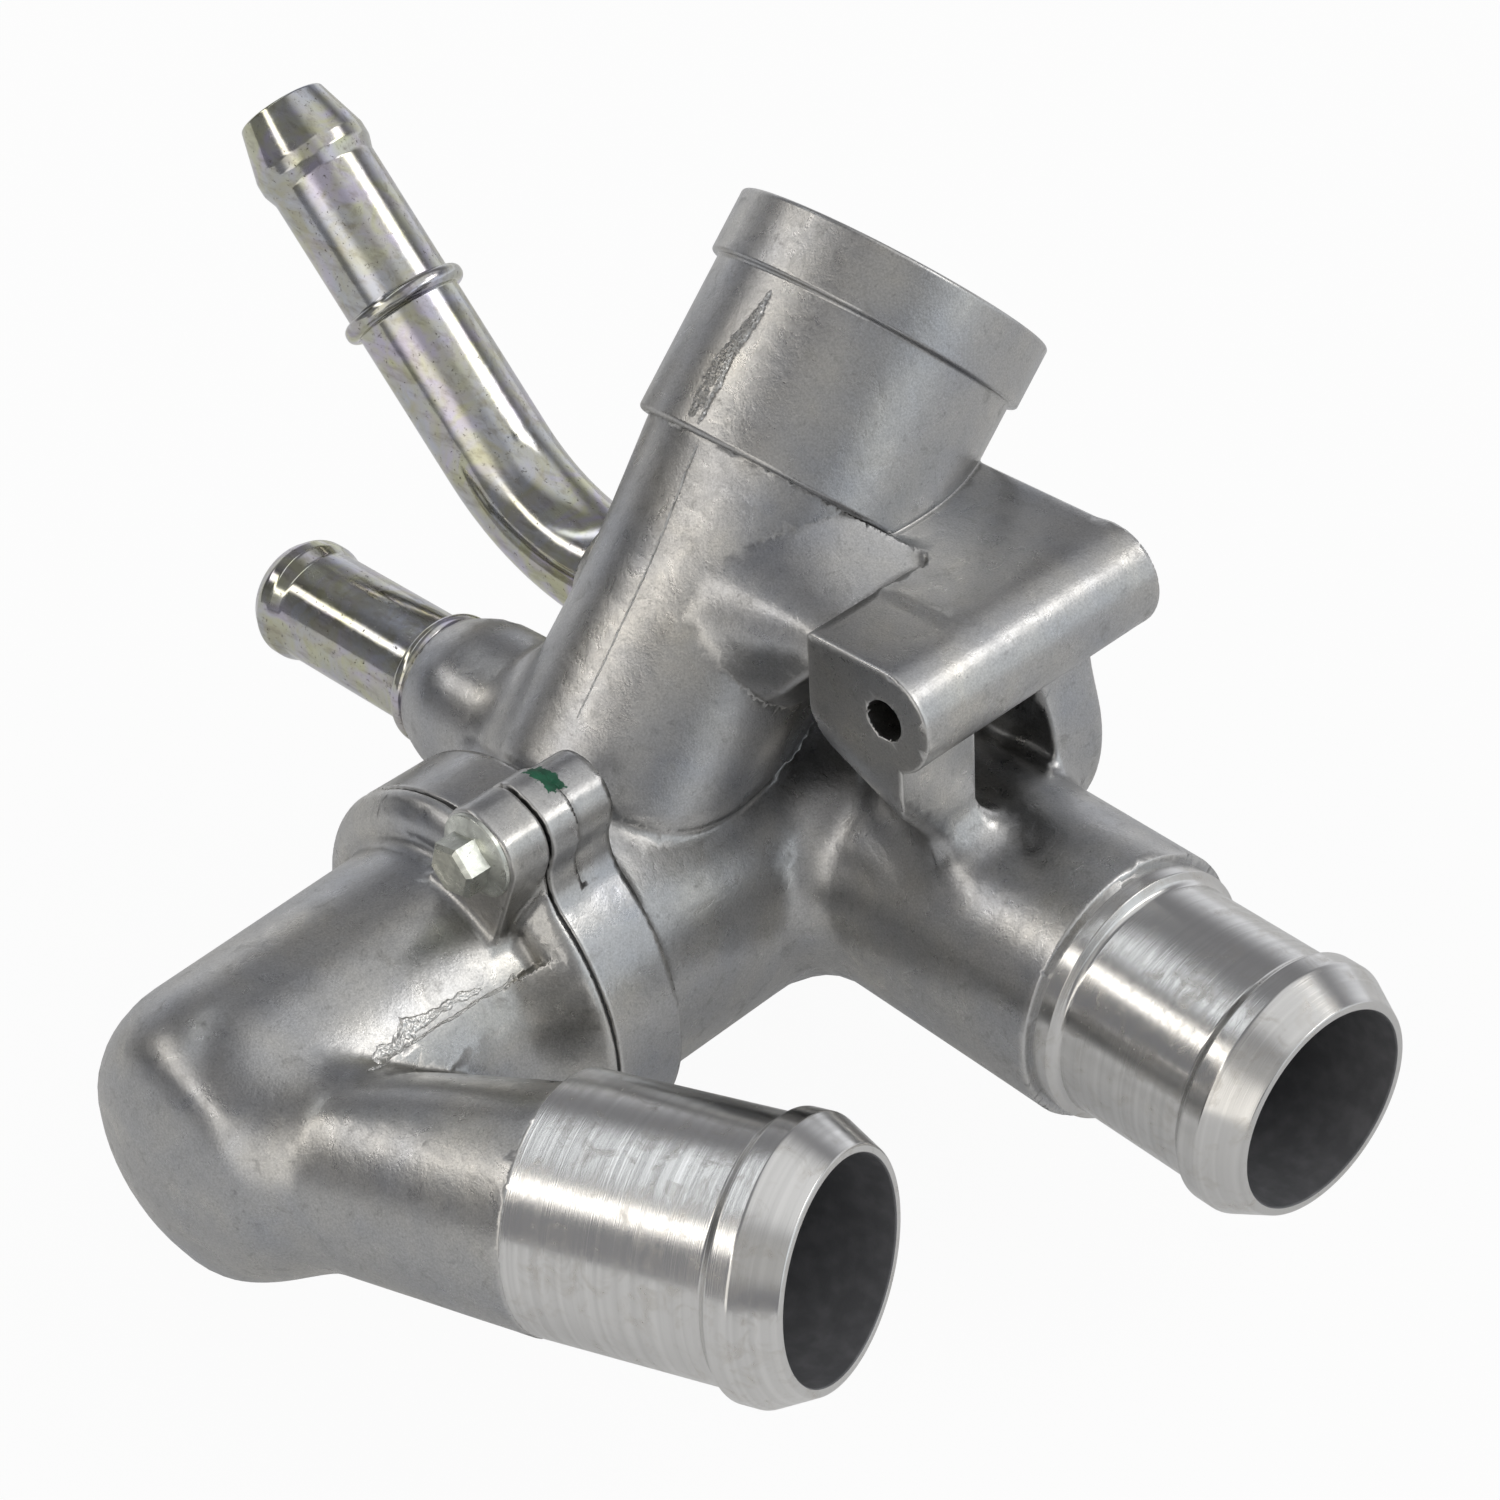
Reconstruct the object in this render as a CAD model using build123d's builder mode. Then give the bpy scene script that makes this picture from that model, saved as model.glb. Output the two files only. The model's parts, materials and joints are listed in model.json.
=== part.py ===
from build123d import *
import os
from math import cos, radians, sin

# A die-cast coolant outlet that bolts to an engine face. A wax-driven valve sits in the joint between
# its housing and its cover. All sizes are in millimetres.
# The valve axis is Y. The engine face is the plane Y = 0, the cover points to -Y, and Z is up.

# Valve axis layout
joint_to_face = 92.0
joint_gap = 0.5
joint_seal_inset = 0.5
cover_length = 61.9

# Round joint flange and its two bolt ears
flange_radius = 32.0
housing_flange = 12.6
cover_flange = 4.0
cover_rim = 1.3
cover_rim_slope = 3.5
body_fillet = 3.0
cap_fillet = 3.0
rim_inset = 0.1
ear_angle = 68.1
ear_reach = 38.1
ear_radius = 7.2
ear_flat_reach = 44.8
ear_step_at = 5.6
ear_step = 0.6
cover_ear = 7.4
ear_root_fillet = 5.0

# Cover bolts, M6 with a flanged hexagon head
bolt_radius = 2.95
thread_clearance = 0.05
bolt_hole_clearance = 0.35
bolt_flange_radius = 6.65
bolt_flange_height = 1.2
bolt_head_height = 5.7
bolt_across_flats = 8.0
bolt_grip = 10.0
bolt_hole_spare = 1.4
bolt_tip_chamfer = 0.6
bolt_crown_chamfer = 0.6
bolt_turn = 12.0

# Cover cap and the chamber behind the joint
cap_root_radius = 25.3
cap_end_radius = 23.2
cap_corner = 6.0
cap_wall = 3.7
cap_dome = 7.4
cap_crown_radius = 14.0
cap_crown = 2.7
cap_crown_rounding = 20.0
cover_recess_depth = 4.0
body_front_radius = 28.4
body_rear_radius = 27.4
chamber_radius = 24.0
chamber_length = 46.0
partition = 4.0
bypass_port_radius = 11.0
inlet_radius = 16.0
inlet_depth = 8.0
gallery_radius = 15.0
gallery_wall = 5.0

# Hose spigots, turned on the casting for a 38 mm hose
spigot_radius = 19.0
spigot_bore = 15.9
bead_radius = 20.4
nose_radius = 17.2
bead_back = 11.0
bead_ramp = 1.5
bead_front = 6.2
mouth_rounding = 0.5

# Cover spigot
cover_spigot_from_joint = 43.75
cover_spigot_lean = 17.1
cover_spigot_rise = 6.1
cover_spigot_length = 97.24
cover_spigot_turned = 55.5
cover_spigot_cast_radius = 19.5
cover_spigot_root_radius = 17.6

# Housing spigot
side_spigot_from_joint = 67.55
side_spigot_lean = 3.1
side_spigot_length = 113.45
side_spigot_turned = 75.0
side_spigot_cast_radius = 22.0
side_land_radius = 20.6
side_land = 3.2

# Tilted neck with a plug-in socket
neck_from_joint = 15.0
neck_tilt = 45.0
neck_length = 114.0
neck_radius = 21.1
neck_flare_radius = 23.1
neck_flare_start = 52.0
neck_band = 37.4
neck_band_radius = 25.0
neck_rim = 11.0
neck_rim_radius = 26.3
neck_step = 1.4
neck_bore = 18.0
socket_radius = 22.0
socket_depth = 24.0
socket_chamfer = 1.0

# Through-bolt boss with its block and top plate
boss_x = 47.7
boss_z = 48.0
boss_radius = 8.6
boss_length = 50.6
mount_hole_radius = 3.5
block_inner_x = 32.5
block_outer_x = 50.9
block_back = 34.9
block_corner = 4.0
block_foot_z = 12.0
slope_inner_z = 39.5
slope_outer_z = 30.9
slope_foot_z = 24.7
slope_run = 12.0
plate_thickness = 5.6
plate_inner_x = 14.0
plate_front = 31.0

# Engine flange
engine_flange = 11.0
engine_ring_radius = 30.0
engine_lobe_x = 19.6
engine_lobe_z = 16.5
engine_lobe_radius = 26.0
mount_lobe_radius = 8.5
lower_mount_x = -38.0
lower_mount_z = -22.0
upper_mount_x = -28.5
upper_mount_z = 41.0
rib_radius = 6.0
seal_groove_radius = 21.0
seal_width = 2.8
seal_side_gap = 0.3
seal_groove_depth = 2.3
seal_proud = 0.6

# Steel tubes pressed into the housing
tube_radius = 9.5
tube_bore = 8.0
tube_seat = 18.0
tube_fit = 0.03
tube_end_gap = 1.0
tube_feed = 22.0
tube_boss_radius = 11.2
tube_boss_shoulder = 13.6
tube_boss_shoulder_at = 6.5
tube_boss_root = 14.2
tube_feed_radius = 7.0
tube_lip = 1.2
long_nose_radius = 7.8
long_nose = 9.0
short_nose_radius = 8.8
short_nose = 2.4
tube_bulge_radius = 10.3
tube_bulge = 4.6
tube_ring_radius = 11.3
tube_ring = 3.0
short_tube_from_joint = 32.8
short_tube_z = 17.6
short_tube_boss_x = -40.2
short_tube_reach = 39.6
long_tube_from_joint = 70.0
long_tube_z = 19.5
long_tube_boss_x = -40.5
long_tube_bend_x = -57.5
long_tube_rise = 45.0
long_tube_bend_radius = 40.0
long_tube_ring_at = 44.8
long_tube_length = 85.1
short_boss_depth = 30.0
long_boss_depth = 30.0
long_feed_drop = 0.65

# Wax valve
valve_flange_radius = 27.0
valve_flange = 1.5
valve_flange_gap = 0.4
seat_radius = 17.5
poppet_radius = 18.3
poppet_plate = 1.4
poppet_rubber = 0.6
poppet_rubber_width = 2.1
seat_gap = 0.05
valve_lift = 8.0
bridge_height = 15.0
bridge_width = 7.0
bridge_sheet = 1.5
bridge_foot_radius = 20.5
crown_radius = 6.5
crown_height = 2.6
crown_hub_radius = 4.5
bridge_foot = 1.9
piston_radius = 2.0
piston_length = 27.8
piston_socket = 1.6
press_gap = 0.02
running_fit = 0.05
cup_radius = 7.0
cup_wall = 0.8
cup_front = 1.0
cup_length = 16.0
cup_tail_radius = 5.0
cup_tail = 12.5
guide_length = 4.0
guide_nose_radius = 4.0
guide_nose = 3.5
sleeve_wall = 1.0
sleeve_gap = 0.35
sleeve_flange = 0.8
sleeve_length = 10.0
inside_gap = 0.05
retainer_plate = 1.5
retainer_radius = 15.5
retainer_hole_gap = 0.4
leg_outer_radius = 20.9
leg_stop_gap = 1.0
spring_wire = 2.2
spring_mean_radius = 12.6
spring_turns = 4.5
spring_end_gap = 0.1

# Bypass disc on the capsule stem
stem_radius = 2.0
bypass_disc_radius = 12.5
bypass_disc_thickness = 1.3
bypass_seat_gap = 1.0
bypass_clip_radius = 3.4
bypass_clip = 0.7
bypass_clip_gap = 0.05
stem_end = 0.5
bypass_spring_wire = 0.9
bypass_spring_radius = 4.2
bypass_spring_turns = 2.5

# Jiggle pin in the valve flange
jiggle_reach = 21.6
jiggle_angle = 45.0
jiggle_radius = 1.0
jiggle_hole_gap = 0.45
jiggle_head_radius = 1.9
jiggle_head = 0.8
jiggle_ball = 3.0
jiggle_play = 1.2
jiggle_end_gap = 0.1

# Places worked out from the sizes above
joint_y = -joint_to_face
housing_face_y = joint_y + joint_gap / 2
cover_face_y = joint_y - joint_gap / 2
partition_y = joint_y + chamber_length
valve_seat_y = housing_face_y + valve_flange
ear_direction = (cos(radians(ear_angle)), sin(radians(ear_angle)))
ear_places = [(side * ear_reach * ear_direction[0], side * ear_reach * ear_direction[1]) for side in (1, -1)]
gallery_outer_radius = gallery_radius + gallery_wall
bolt_length = cover_ear + joint_gap + bolt_grip
cup_inside_radius = cup_radius - cup_wall
sleeve_bore = piston_radius + sleeve_gap
poppet_y = valve_seat_y + seat_gap + poppet_rubber
poppet_back_y = poppet_y + poppet_plate
cup_y = joint_y + cup_front
cup_shoulder_y = cup_y + cup_length
tail_y = cup_shoulder_y + cup_tail
retainer_y = cup_shoulder_y + cup_radius - cup_tail_radius + valve_lift + leg_stop_gap
bridge_y = housing_face_y - bridge_height
piston_y = bridge_y + bridge_sheet - piston_socket
bypass_disc_y = partition_y - valve_lift - bypass_seat_gap - bypass_disc_thickness
clip_y = bypass_disc_y + bypass_disc_thickness + bypass_clip_gap
stem_length = clip_y + bypass_clip + stem_end - tail_y
jiggle_x = jiggle_reach * cos(radians(jiggle_angle))
jiggle_z = jiggle_reach * sin(radians(jiggle_angle))
jiggle_shank = valve_flange + jiggle_play + 2 * jiggle_end_gap
gasket_bore = chamber_radius + 0.6
bolt_seat_y = cover_face_y - cover_ear
boss_top_z = boss_z + boss_radius
neck_band_start = neck_length - neck_band
neck_rim_start = neck_length - neck_rim


def axis_plane(origin, direction):
    """Plane whose local y runs along the direction, so that local x is a radius about it."""
    along = Vector(*direction).normalized()
    radial = along.cross(Vector(0, 0, 1)).normalized()
    return Plane(origin=origin, x_dir=radial, z_dir=radial.cross(along))


def turned(plane, *outline, mode=Mode.ADD):
    """Revolve a closed outline of (radius, distance, corner rounding) about the plane's y axis."""
    corners = [point[:2] for point in outline]
    rounds = [point[2] if len(point) > 2 else 0 for point in outline]
    with BuildSketch(plane) as section:
        with BuildLine():
            FilletPolyline(*corners, radius=rounds, close=True)
        make_face()
    revolve(section.sketch, axis=Axis(plane.origin, plane.y_dir), mode=mode)


def spigot_nose(mouth):
    """Outline points of the turned barrel's end, from the bead's back to the mouth."""
    return [
        (spigot_radius, mouth - bead_back, 0.8),
        (bead_radius, mouth - bead_back + bead_ramp, 0.6),
        (bead_radius, mouth - bead_front, 1.0),
        (nose_radius, mouth, mouth_rounding),
    ]


def hose_end(plane, start, length, nose, nose_radius):
    """Straight tube with its formed end: a bulge that holds the hose and a drawn-in nose."""
    bulge_start = length - nose - tube_bulge
    turned(
        plane,
        (0, start),
        (tube_radius, start),
        (tube_radius, bulge_start, 2.0),
        (tube_bulge_radius, bulge_start + tube_bulge / 2, 2.0),
        (tube_bulge_radius, bulge_start + tube_bulge, 2.0),
        (nose_radius, length, 0.8),
        (0, length),
    )


def hose_end_bore(plane, start, length, nose, mouth_radius):
    """Bore of a straight tube, narrower where the nose is drawn in."""
    turned(
        plane,
        (0, start),
        (tube_bore, start),
        (tube_bore, length - nose, 0.5),
        (mouth_radius, length),
        (0, length),
        mode=Mode.SUBTRACT,
    )


def stop_ring(plane, start):
    """Rounded ring rolled up in the tube's wall."""
    turned(
        plane,
        (0, start),
        (tube_ring_radius, start, tube_ring * 0.45),
        (tube_ring_radius, start + tube_ring, tube_ring * 0.45),
        (0, start + tube_ring),
    )


def joint_outline(radius, y):
    """Round flange with both bolt ears: round ends cut by a flat, and concave roots."""
    with BuildSketch(Plane.XZ.offset(-y)) as outline:
        Circle(flange_radius)
        for x, z in ear_places:
            with Locations((x, z)):
                Circle(radius)
            with Locations(Location((x / 2, z / 2), ear_angle)):
                Rectangle(ear_reach, 2 * radius)
        roots = [corner for corner in outline.vertices() if abs(corner.center().length - flange_radius) < 0.01]
        fillet(roots, ear_root_fillet)
        with Locations(Location((0, 0), ear_angle)):
            Rectangle(2 * ear_flat_reach, 4 * flange_radius, mode=Mode.INTERSECT)
    return outline.sketch


valve_plane = axis_plane((0, joint_y, 0), (0, 1, 0))
cover_plane = axis_plane((0, cover_face_y, 0), (0, -1, 0))
cup_plane = axis_plane((0, cup_y, 0), (0, 1, 0))
tilt = radians(neck_tilt)
neck_plane = axis_plane((0, joint_y + neck_from_joint, 0), (0, cos(tilt), sin(tilt)))
side_lean = radians(side_spigot_lean)
side_plane = axis_plane((0, joint_y + side_spigot_from_joint, 0), (cos(side_lean), -sin(side_lean), 0))
lean = radians(cover_spigot_lean)
rise = radians(cover_spigot_rise)
cover_spigot_plane = axis_plane(
    (0, joint_y - cover_spigot_from_joint, 0), (cos(rise) * cos(lean), cos(rise) * sin(lean), sin(rise))
)
short_tube_plane = axis_plane((short_tube_boss_x, joint_y + short_tube_from_joint, short_tube_z), (-1, 0, 0))
long_tube_y = joint_y + long_tube_from_joint
long_tube_plane = axis_plane((long_tube_boss_x, long_tube_y, long_tube_z), (-1, 0, 0))
long_rise = radians(long_tube_rise)
long_end_plane = axis_plane((long_tube_bend_x, long_tube_y, long_tube_z), (-cos(long_rise), 0, sin(long_rise)))
tube_bosses = ((short_tube_plane, short_boss_depth), (long_tube_plane, long_boss_depth))
slope_corner = Vector(block_inner_x, -boss_length, slope_inner_z)
slope_across = Vector(block_outer_x, -boss_length, slope_outer_z) - slope_corner
slope_down = Vector(block_inner_x, slope_run - boss_length, slope_foot_z) - slope_corner
slope_plane = Plane(origin=slope_corner, x_dir=slope_across, z_dir=slope_across.cross(slope_down))
short_feed_plane = axis_plane(short_tube_plane.from_local_coords((0, -tube_seat, 0)), (1, 0, 0))
long_feed_plane = axis_plane(long_tube_plane.from_local_coords((0, -tube_seat, 0)), (1, 0, -long_feed_drop))

os.makedirs("parts", exist_ok=True)


# Block under the through-bolt boss of the housing, its underside sloping back to the side spigot
with BuildPart() as boss_block:
    with BuildSketch(Plane.XZ.offset(boss_length)):
        with BuildLine():
            FilletPolyline(
                (block_inner_x, block_foot_z),
                (block_outer_x, block_foot_z),
                (block_outer_x, boss_z),
                (boss_x, boss_top_z),
                (block_inner_x, boss_top_z),
                radius=[0, 0, 0, 0, block_corner],
                close=True,
            )
        make_face()
    extrude(amount=-(boss_length - block_back))
    split(bisect_by=slope_plane, keep=Keep.TOP)

# Housing casting
with BuildPart() as housing:
    # Joint flange with its two bolt ears, which are slightly smaller behind the die step
    extrude(joint_outline(ear_radius, housing_face_y), amount=-ear_step_at)
    extrude(joint_outline(ear_radius - ear_step, housing_face_y + ear_step_at), amount=ear_step_at - housing_flange)
    # Valve body
    turned(
        valve_plane,
        (0, joint_gap / 2 + 1),
        (body_front_radius + body_fillet, joint_gap / 2 + 1),
        (body_front_radius + body_fillet, joint_gap / 2 + housing_flange),
        (body_front_radius, joint_gap / 2 + housing_flange, body_fillet),
        (body_rear_radius, joint_to_face - engine_flange / 2),
        (0, joint_to_face - engine_flange / 2),
    )
    # Side spigot
    turned(
        side_plane,
        (0, 0),
        (side_spigot_cast_radius, 0),
        (side_spigot_cast_radius, side_spigot_turned, 0.3),
        (side_land_radius, side_spigot_turned),
        (side_land_radius, side_spigot_turned + side_land, 0.4),
        (spigot_radius, side_spigot_turned + side_land + 0.8, 1.2),
        *spigot_nose(side_spigot_length),
        (0, side_spigot_length),
    )
    # Engine flange
    with BuildSketch(Plane.XZ):
        Circle(engine_ring_radius)
        with Locations((engine_lobe_x, engine_lobe_z)):
            Circle(engine_lobe_radius)
        with Locations((lower_mount_x, lower_mount_z), (upper_mount_x, upper_mount_z)):
            Circle(mount_lobe_radius)
        make_hull()
    extrude(amount=engine_flange)
    # Through-bolt boss
    with BuildSketch(Plane.XZ):
        with Locations((boss_x, boss_z)):
            Circle(boss_radius)
    extrude(amount=boss_length)
    add(boss_block.part)
    # Top plate from the neck to the boss, and the rib from the boss to the engine flange
    with BuildSketch(Plane.XY.offset(boss_top_z)):
        with BuildLine():
            Polyline(
                (plate_inner_x, 0),
                (boss_x, 0),
                (boss_x, -block_back),
                (block_inner_x + block_corner, -block_back),
                (plate_inner_x, -plate_front),
                close=True,
            )
        make_face()
    extrude(amount=-plate_thickness)
    with BuildSketch(Plane.XZ):
        with Locations((boss_x, boss_z), (engine_lobe_x, engine_lobe_z)):
            Circle(rib_radius)
        make_hull()
    extrude(amount=engine_flange)
    # Neck in three steps
    turned(
        neck_plane,
        (0, 0),
        (neck_radius, 0),
        (neck_radius, neck_flare_start, 30.0),
        (neck_flare_radius, neck_band_start, 1.5),
        (neck_band_radius, neck_band_start + neck_step, 0.8),
        (neck_band_radius, neck_rim_start, 0.5),
        (neck_rim_radius, neck_rim_start + neck_step, 0.4),
        (neck_rim_radius, neck_length, 0.7),
        (0, neck_length),
    )
    # Bosses that hold the steel tubes, drafted towards their ends
    for boss_plane, boss_depth in tube_bosses:
        turned(
            boss_plane,
            (0, 0),
            (tube_boss_radius, 0, 0.6),
            (tube_boss_shoulder, -tube_boss_shoulder_at, 4.0),
            (tube_boss_root, -boss_depth),
            (0, -boss_depth),
        )
    # Valve chamber, valve flange recess, neck bore and socket
    turned(
        valve_plane,
        (0, 0),
        (chamber_radius, 0),
        (chamber_radius, chamber_length, 3.0),
        (0, chamber_length),
        mode=Mode.SUBTRACT,
    )
    turned(
        valve_plane,
        (0, 0),
        (valve_flange_radius + valve_flange_gap, 0),
        (valve_flange_radius + valve_flange_gap, joint_gap / 2 + valve_flange),
        (0, joint_gap / 2 + valve_flange),
        mode=Mode.SUBTRACT,
    )
    turned(
        neck_plane,
        (0, 0),
        (neck_bore, 0),
        (neck_bore, neck_length - socket_depth),
        (socket_radius, neck_length - socket_depth),
        (socket_radius, neck_length - socket_chamfer),
        (socket_radius + socket_chamfer, neck_length),
        (0, neck_length),
        mode=Mode.SUBTRACT,
    )
    # Gallery to the side spigot, walled off from the chamber and the neck, with the bypass port
    turned(
        valve_plane,
        (0, chamber_length),
        (gallery_outer_radius, chamber_length),
        (gallery_outer_radius, joint_to_face),
        (0, joint_to_face),
    )
    turned(
        valve_plane,
        (0, chamber_length + partition),
        (gallery_radius, chamber_length + partition, 2.0),
        (gallery_radius, joint_to_face - inlet_depth),
        (inlet_radius, joint_to_face - inlet_depth),
        (inlet_radius, joint_to_face),
        (0, joint_to_face),
        mode=Mode.SUBTRACT,
    )
    with BuildSketch(Plane.XZ.offset(-partition_y)):
        Circle(bypass_port_radius)
    extrude(amount=-2 * partition, mode=Mode.SUBTRACT)
    turned(
        side_plane,
        (0, 0),
        (spigot_bore, 0),
        (spigot_bore, side_spigot_length),
        (0, side_spigot_length),
        mode=Mode.SUBTRACT,
    )
    # Tube seats and their feeds
    for boss_plane, _ in tube_bosses:
        turned(
            boss_plane,
            (0, 0),
            (tube_radius + tube_fit, 0),
            (tube_radius + tube_fit, -tube_seat),
            (0, -tube_seat),
            mode=Mode.SUBTRACT,
        )
    for feed_plane in (short_feed_plane, long_feed_plane):
        turned(
            feed_plane,
            (0, -2),
            (tube_feed_radius, -2),
            (tube_feed_radius, tube_feed),
            (0, tube_feed),
            mode=Mode.SUBTRACT,
        )
    # Engine face: seal groove and mounting holes
    with BuildSketch(Plane.XZ):
        Circle(seal_groove_radius + seal_width / 2 + seal_side_gap)
        Circle(seal_groove_radius - seal_width / 2 - seal_side_gap, mode=Mode.SUBTRACT)
    extrude(amount=seal_groove_depth, mode=Mode.SUBTRACT)
    with BuildSketch(Plane.XZ):
        with Locations((boss_x, boss_z), (lower_mount_x, lower_mount_z), (upper_mount_x, upper_mount_z)):
            Circle(mount_hole_radius)
    extrude(amount=boss_length, mode=Mode.SUBTRACT)
    # Tapped holes for the cover bolts
    with BuildSketch(Plane.XZ.offset(-housing_face_y)):
        with Locations(*ear_places):
            Circle(bolt_radius + thread_clearance)
    extrude(amount=-(bolt_grip + bolt_hole_spare), mode=Mode.SUBTRACT)
housing.part.label = "housing"
export_step(housing.part, "parts/housing.step")

# Cover casting: cap, joint flange with its ears, and hose spigot
with BuildPart() as valve_cover:
    extrude(joint_outline(ear_radius, cover_face_y), amount=cover_rim)
    turned(
        cover_plane,
        (0, cover_rim / 2),
        (flange_radius - rim_inset, cover_rim / 2),
        (flange_radius - rim_inset, cover_rim),
        (flange_radius - cover_rim_slope, cover_flange),
        (cap_root_radius, cover_flange, cap_fillet),
        (cap_end_radius, cover_length - cap_dome, cap_corner),
        (cap_crown_radius, cover_length - cap_crown, cap_crown_rounding),
        (0, cover_length),
    )
    with BuildSketch(Plane.XZ.offset(-cover_face_y)) as lobes:
        for x, z in ear_places:
            with Locations((x, z)):
                Circle(ear_radius)
            with Locations(Location((0.75 * x, 0.75 * z), ear_angle)):
                Rectangle(ear_reach / 2, 2 * ear_radius)
        with Locations(Location((0, 0), ear_angle)):
            Rectangle(2 * ear_flat_reach, 4 * flange_radius, mode=Mode.INTERSECT)
    extrude(amount=cover_ear)
    turned(
        cover_spigot_plane,
        (0, 0),
        (cover_spigot_root_radius, 0),
        (cover_spigot_cast_radius, cover_spigot_turned, 0.4),
        (spigot_radius, cover_spigot_turned),
        *spigot_nose(cover_spigot_length),
        (0, cover_spigot_length),
    )
    # Hollow cap, recess over the valve flange and spigot bore
    turned(
        cover_plane,
        (0, 0),
        (cap_root_radius - cap_wall, 0),
        (cap_end_radius - cap_wall, cover_length - cap_dome - cap_wall / 2, cap_corner / 2),
        (cap_crown_radius, cover_length - cap_crown - cap_wall),
        (0, cover_length - cap_wall),
        mode=Mode.SUBTRACT,
    )
    with BuildSketch(Plane.XZ.offset(-cover_face_y)):
        Circle(gasket_bore)
    extrude(amount=cover_recess_depth, mode=Mode.SUBTRACT)
    turned(
        cover_spigot_plane,
        (0, 0),
        (spigot_bore, 0),
        (spigot_bore, cover_spigot_length),
        (0, cover_spigot_length),
        mode=Mode.SUBTRACT,
    )
    with BuildSketch(Plane.XZ.offset(-cover_face_y)):
        with Locations(*ear_places):
            Circle(bolt_radius + bolt_hole_clearance)
    extrude(amount=cover_ear, mode=Mode.SUBTRACT)
valve_cover.part.label = "valve_cover"
export_step(valve_cover.part, "parts/valve_cover.step")

# Flat rubber ring squeezed in the joint, over the edge of the valve flange
with BuildPart() as joint_seal:
    with BuildSketch(Plane.XZ.offset(-housing_face_y)):
        Circle(flange_radius - joint_seal_inset)
        Circle(gasket_bore, mode=Mode.SUBTRACT)
    extrude(amount=joint_gap)
joint_seal.part.label = "joint_seal"
export_step(joint_seal.part, "parts/joint_seal.step")

# Two flanged bolts through the cover ears
with BuildPart() as cover_bolts:
    for x, z in ear_places:
        bolt_plane = axis_plane((x, bolt_seat_y, z), (0, -1, 0))
        turned(
            bolt_plane,
            (0, -bolt_length),
            (bolt_radius - bolt_tip_chamfer, -bolt_length),
            (bolt_radius, -bolt_length + bolt_tip_chamfer),
            (bolt_radius, 0),
            (bolt_flange_radius, 0),
            (bolt_flange_radius, bolt_flange_height * 0.6, 0.3),
            (bolt_across_flats / 2, bolt_flange_height + 0.6),
            (0, bolt_flange_height + 0.6),
        )
        with BuildSketch(Plane((x, bolt_seat_y, z), x_dir=(1, 0, 0), z_dir=(0, -1, 0))) as hexagon:
            RegularPolygon(bolt_across_flats / 2, 6, major_radius=False, rotation=bolt_turn)
        extrude(hexagon.sketch, amount=bolt_head_height)
    crowns = cover_bolts.faces().filter_by(Axis.Y).group_by(Axis.Y)[0]
    chamfer(crowns.edges(), bolt_crown_chamfer)
cover_bolts.part.label = "cover_bolts"
export_step(cover_bolts.part, "parts/cover_bolts.step")

# Short steel tube, straight out of its boss
with BuildPart() as short_tube:
    hose_end(short_tube_plane, tube_end_gap - tube_seat, short_tube_reach, short_nose, short_nose_radius)
    stop_ring(short_tube_plane, 0)
    short_mouth = short_nose_radius - tube_lip
    hose_end_bore(short_tube_plane, tube_end_gap - tube_seat, short_tube_reach, short_nose, short_mouth)
short_tube.part.label = "short_tube"
export_step(short_tube.part, "parts/short_tube.step")

# Long steel tube, level out of its boss and then bent upwards
with BuildPart() as long_tube:
    with BuildLine() as tube_path:
        FilletPolyline(
            (long_tube_boss_x + tube_seat - tube_end_gap, long_tube_y, long_tube_z),
            (long_tube_bend_x, long_tube_y, long_tube_z),
            long_end_plane.from_local_coords((0, long_tube_ring_at, 0)),
            radius=long_tube_bend_radius,
        )
    tube_mouth = Plane(tube_path.line @ 0, z_dir=tube_path.line % 0)
    with BuildSketch(tube_mouth) as tube_section:
        Circle(tube_radius)
    sweep(tube_section.sketch, path=tube_path.line)
    hose_end(long_end_plane, long_tube_ring_at, long_tube_length, long_nose, long_nose_radius)
    stop_ring(long_end_plane, long_tube_ring_at)
    with BuildSketch(tube_mouth) as bore_section:
        Circle(tube_bore)
    sweep(bore_section.sketch, path=tube_path.line, mode=Mode.SUBTRACT)
    long_mouth = long_nose_radius - tube_lip
    hose_end_bore(long_end_plane, long_tube_ring_at, long_tube_length, long_nose, long_mouth)
long_tube.part.label = "long_tube"
export_step(long_tube.part, "parts/long_tube.step")

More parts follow.
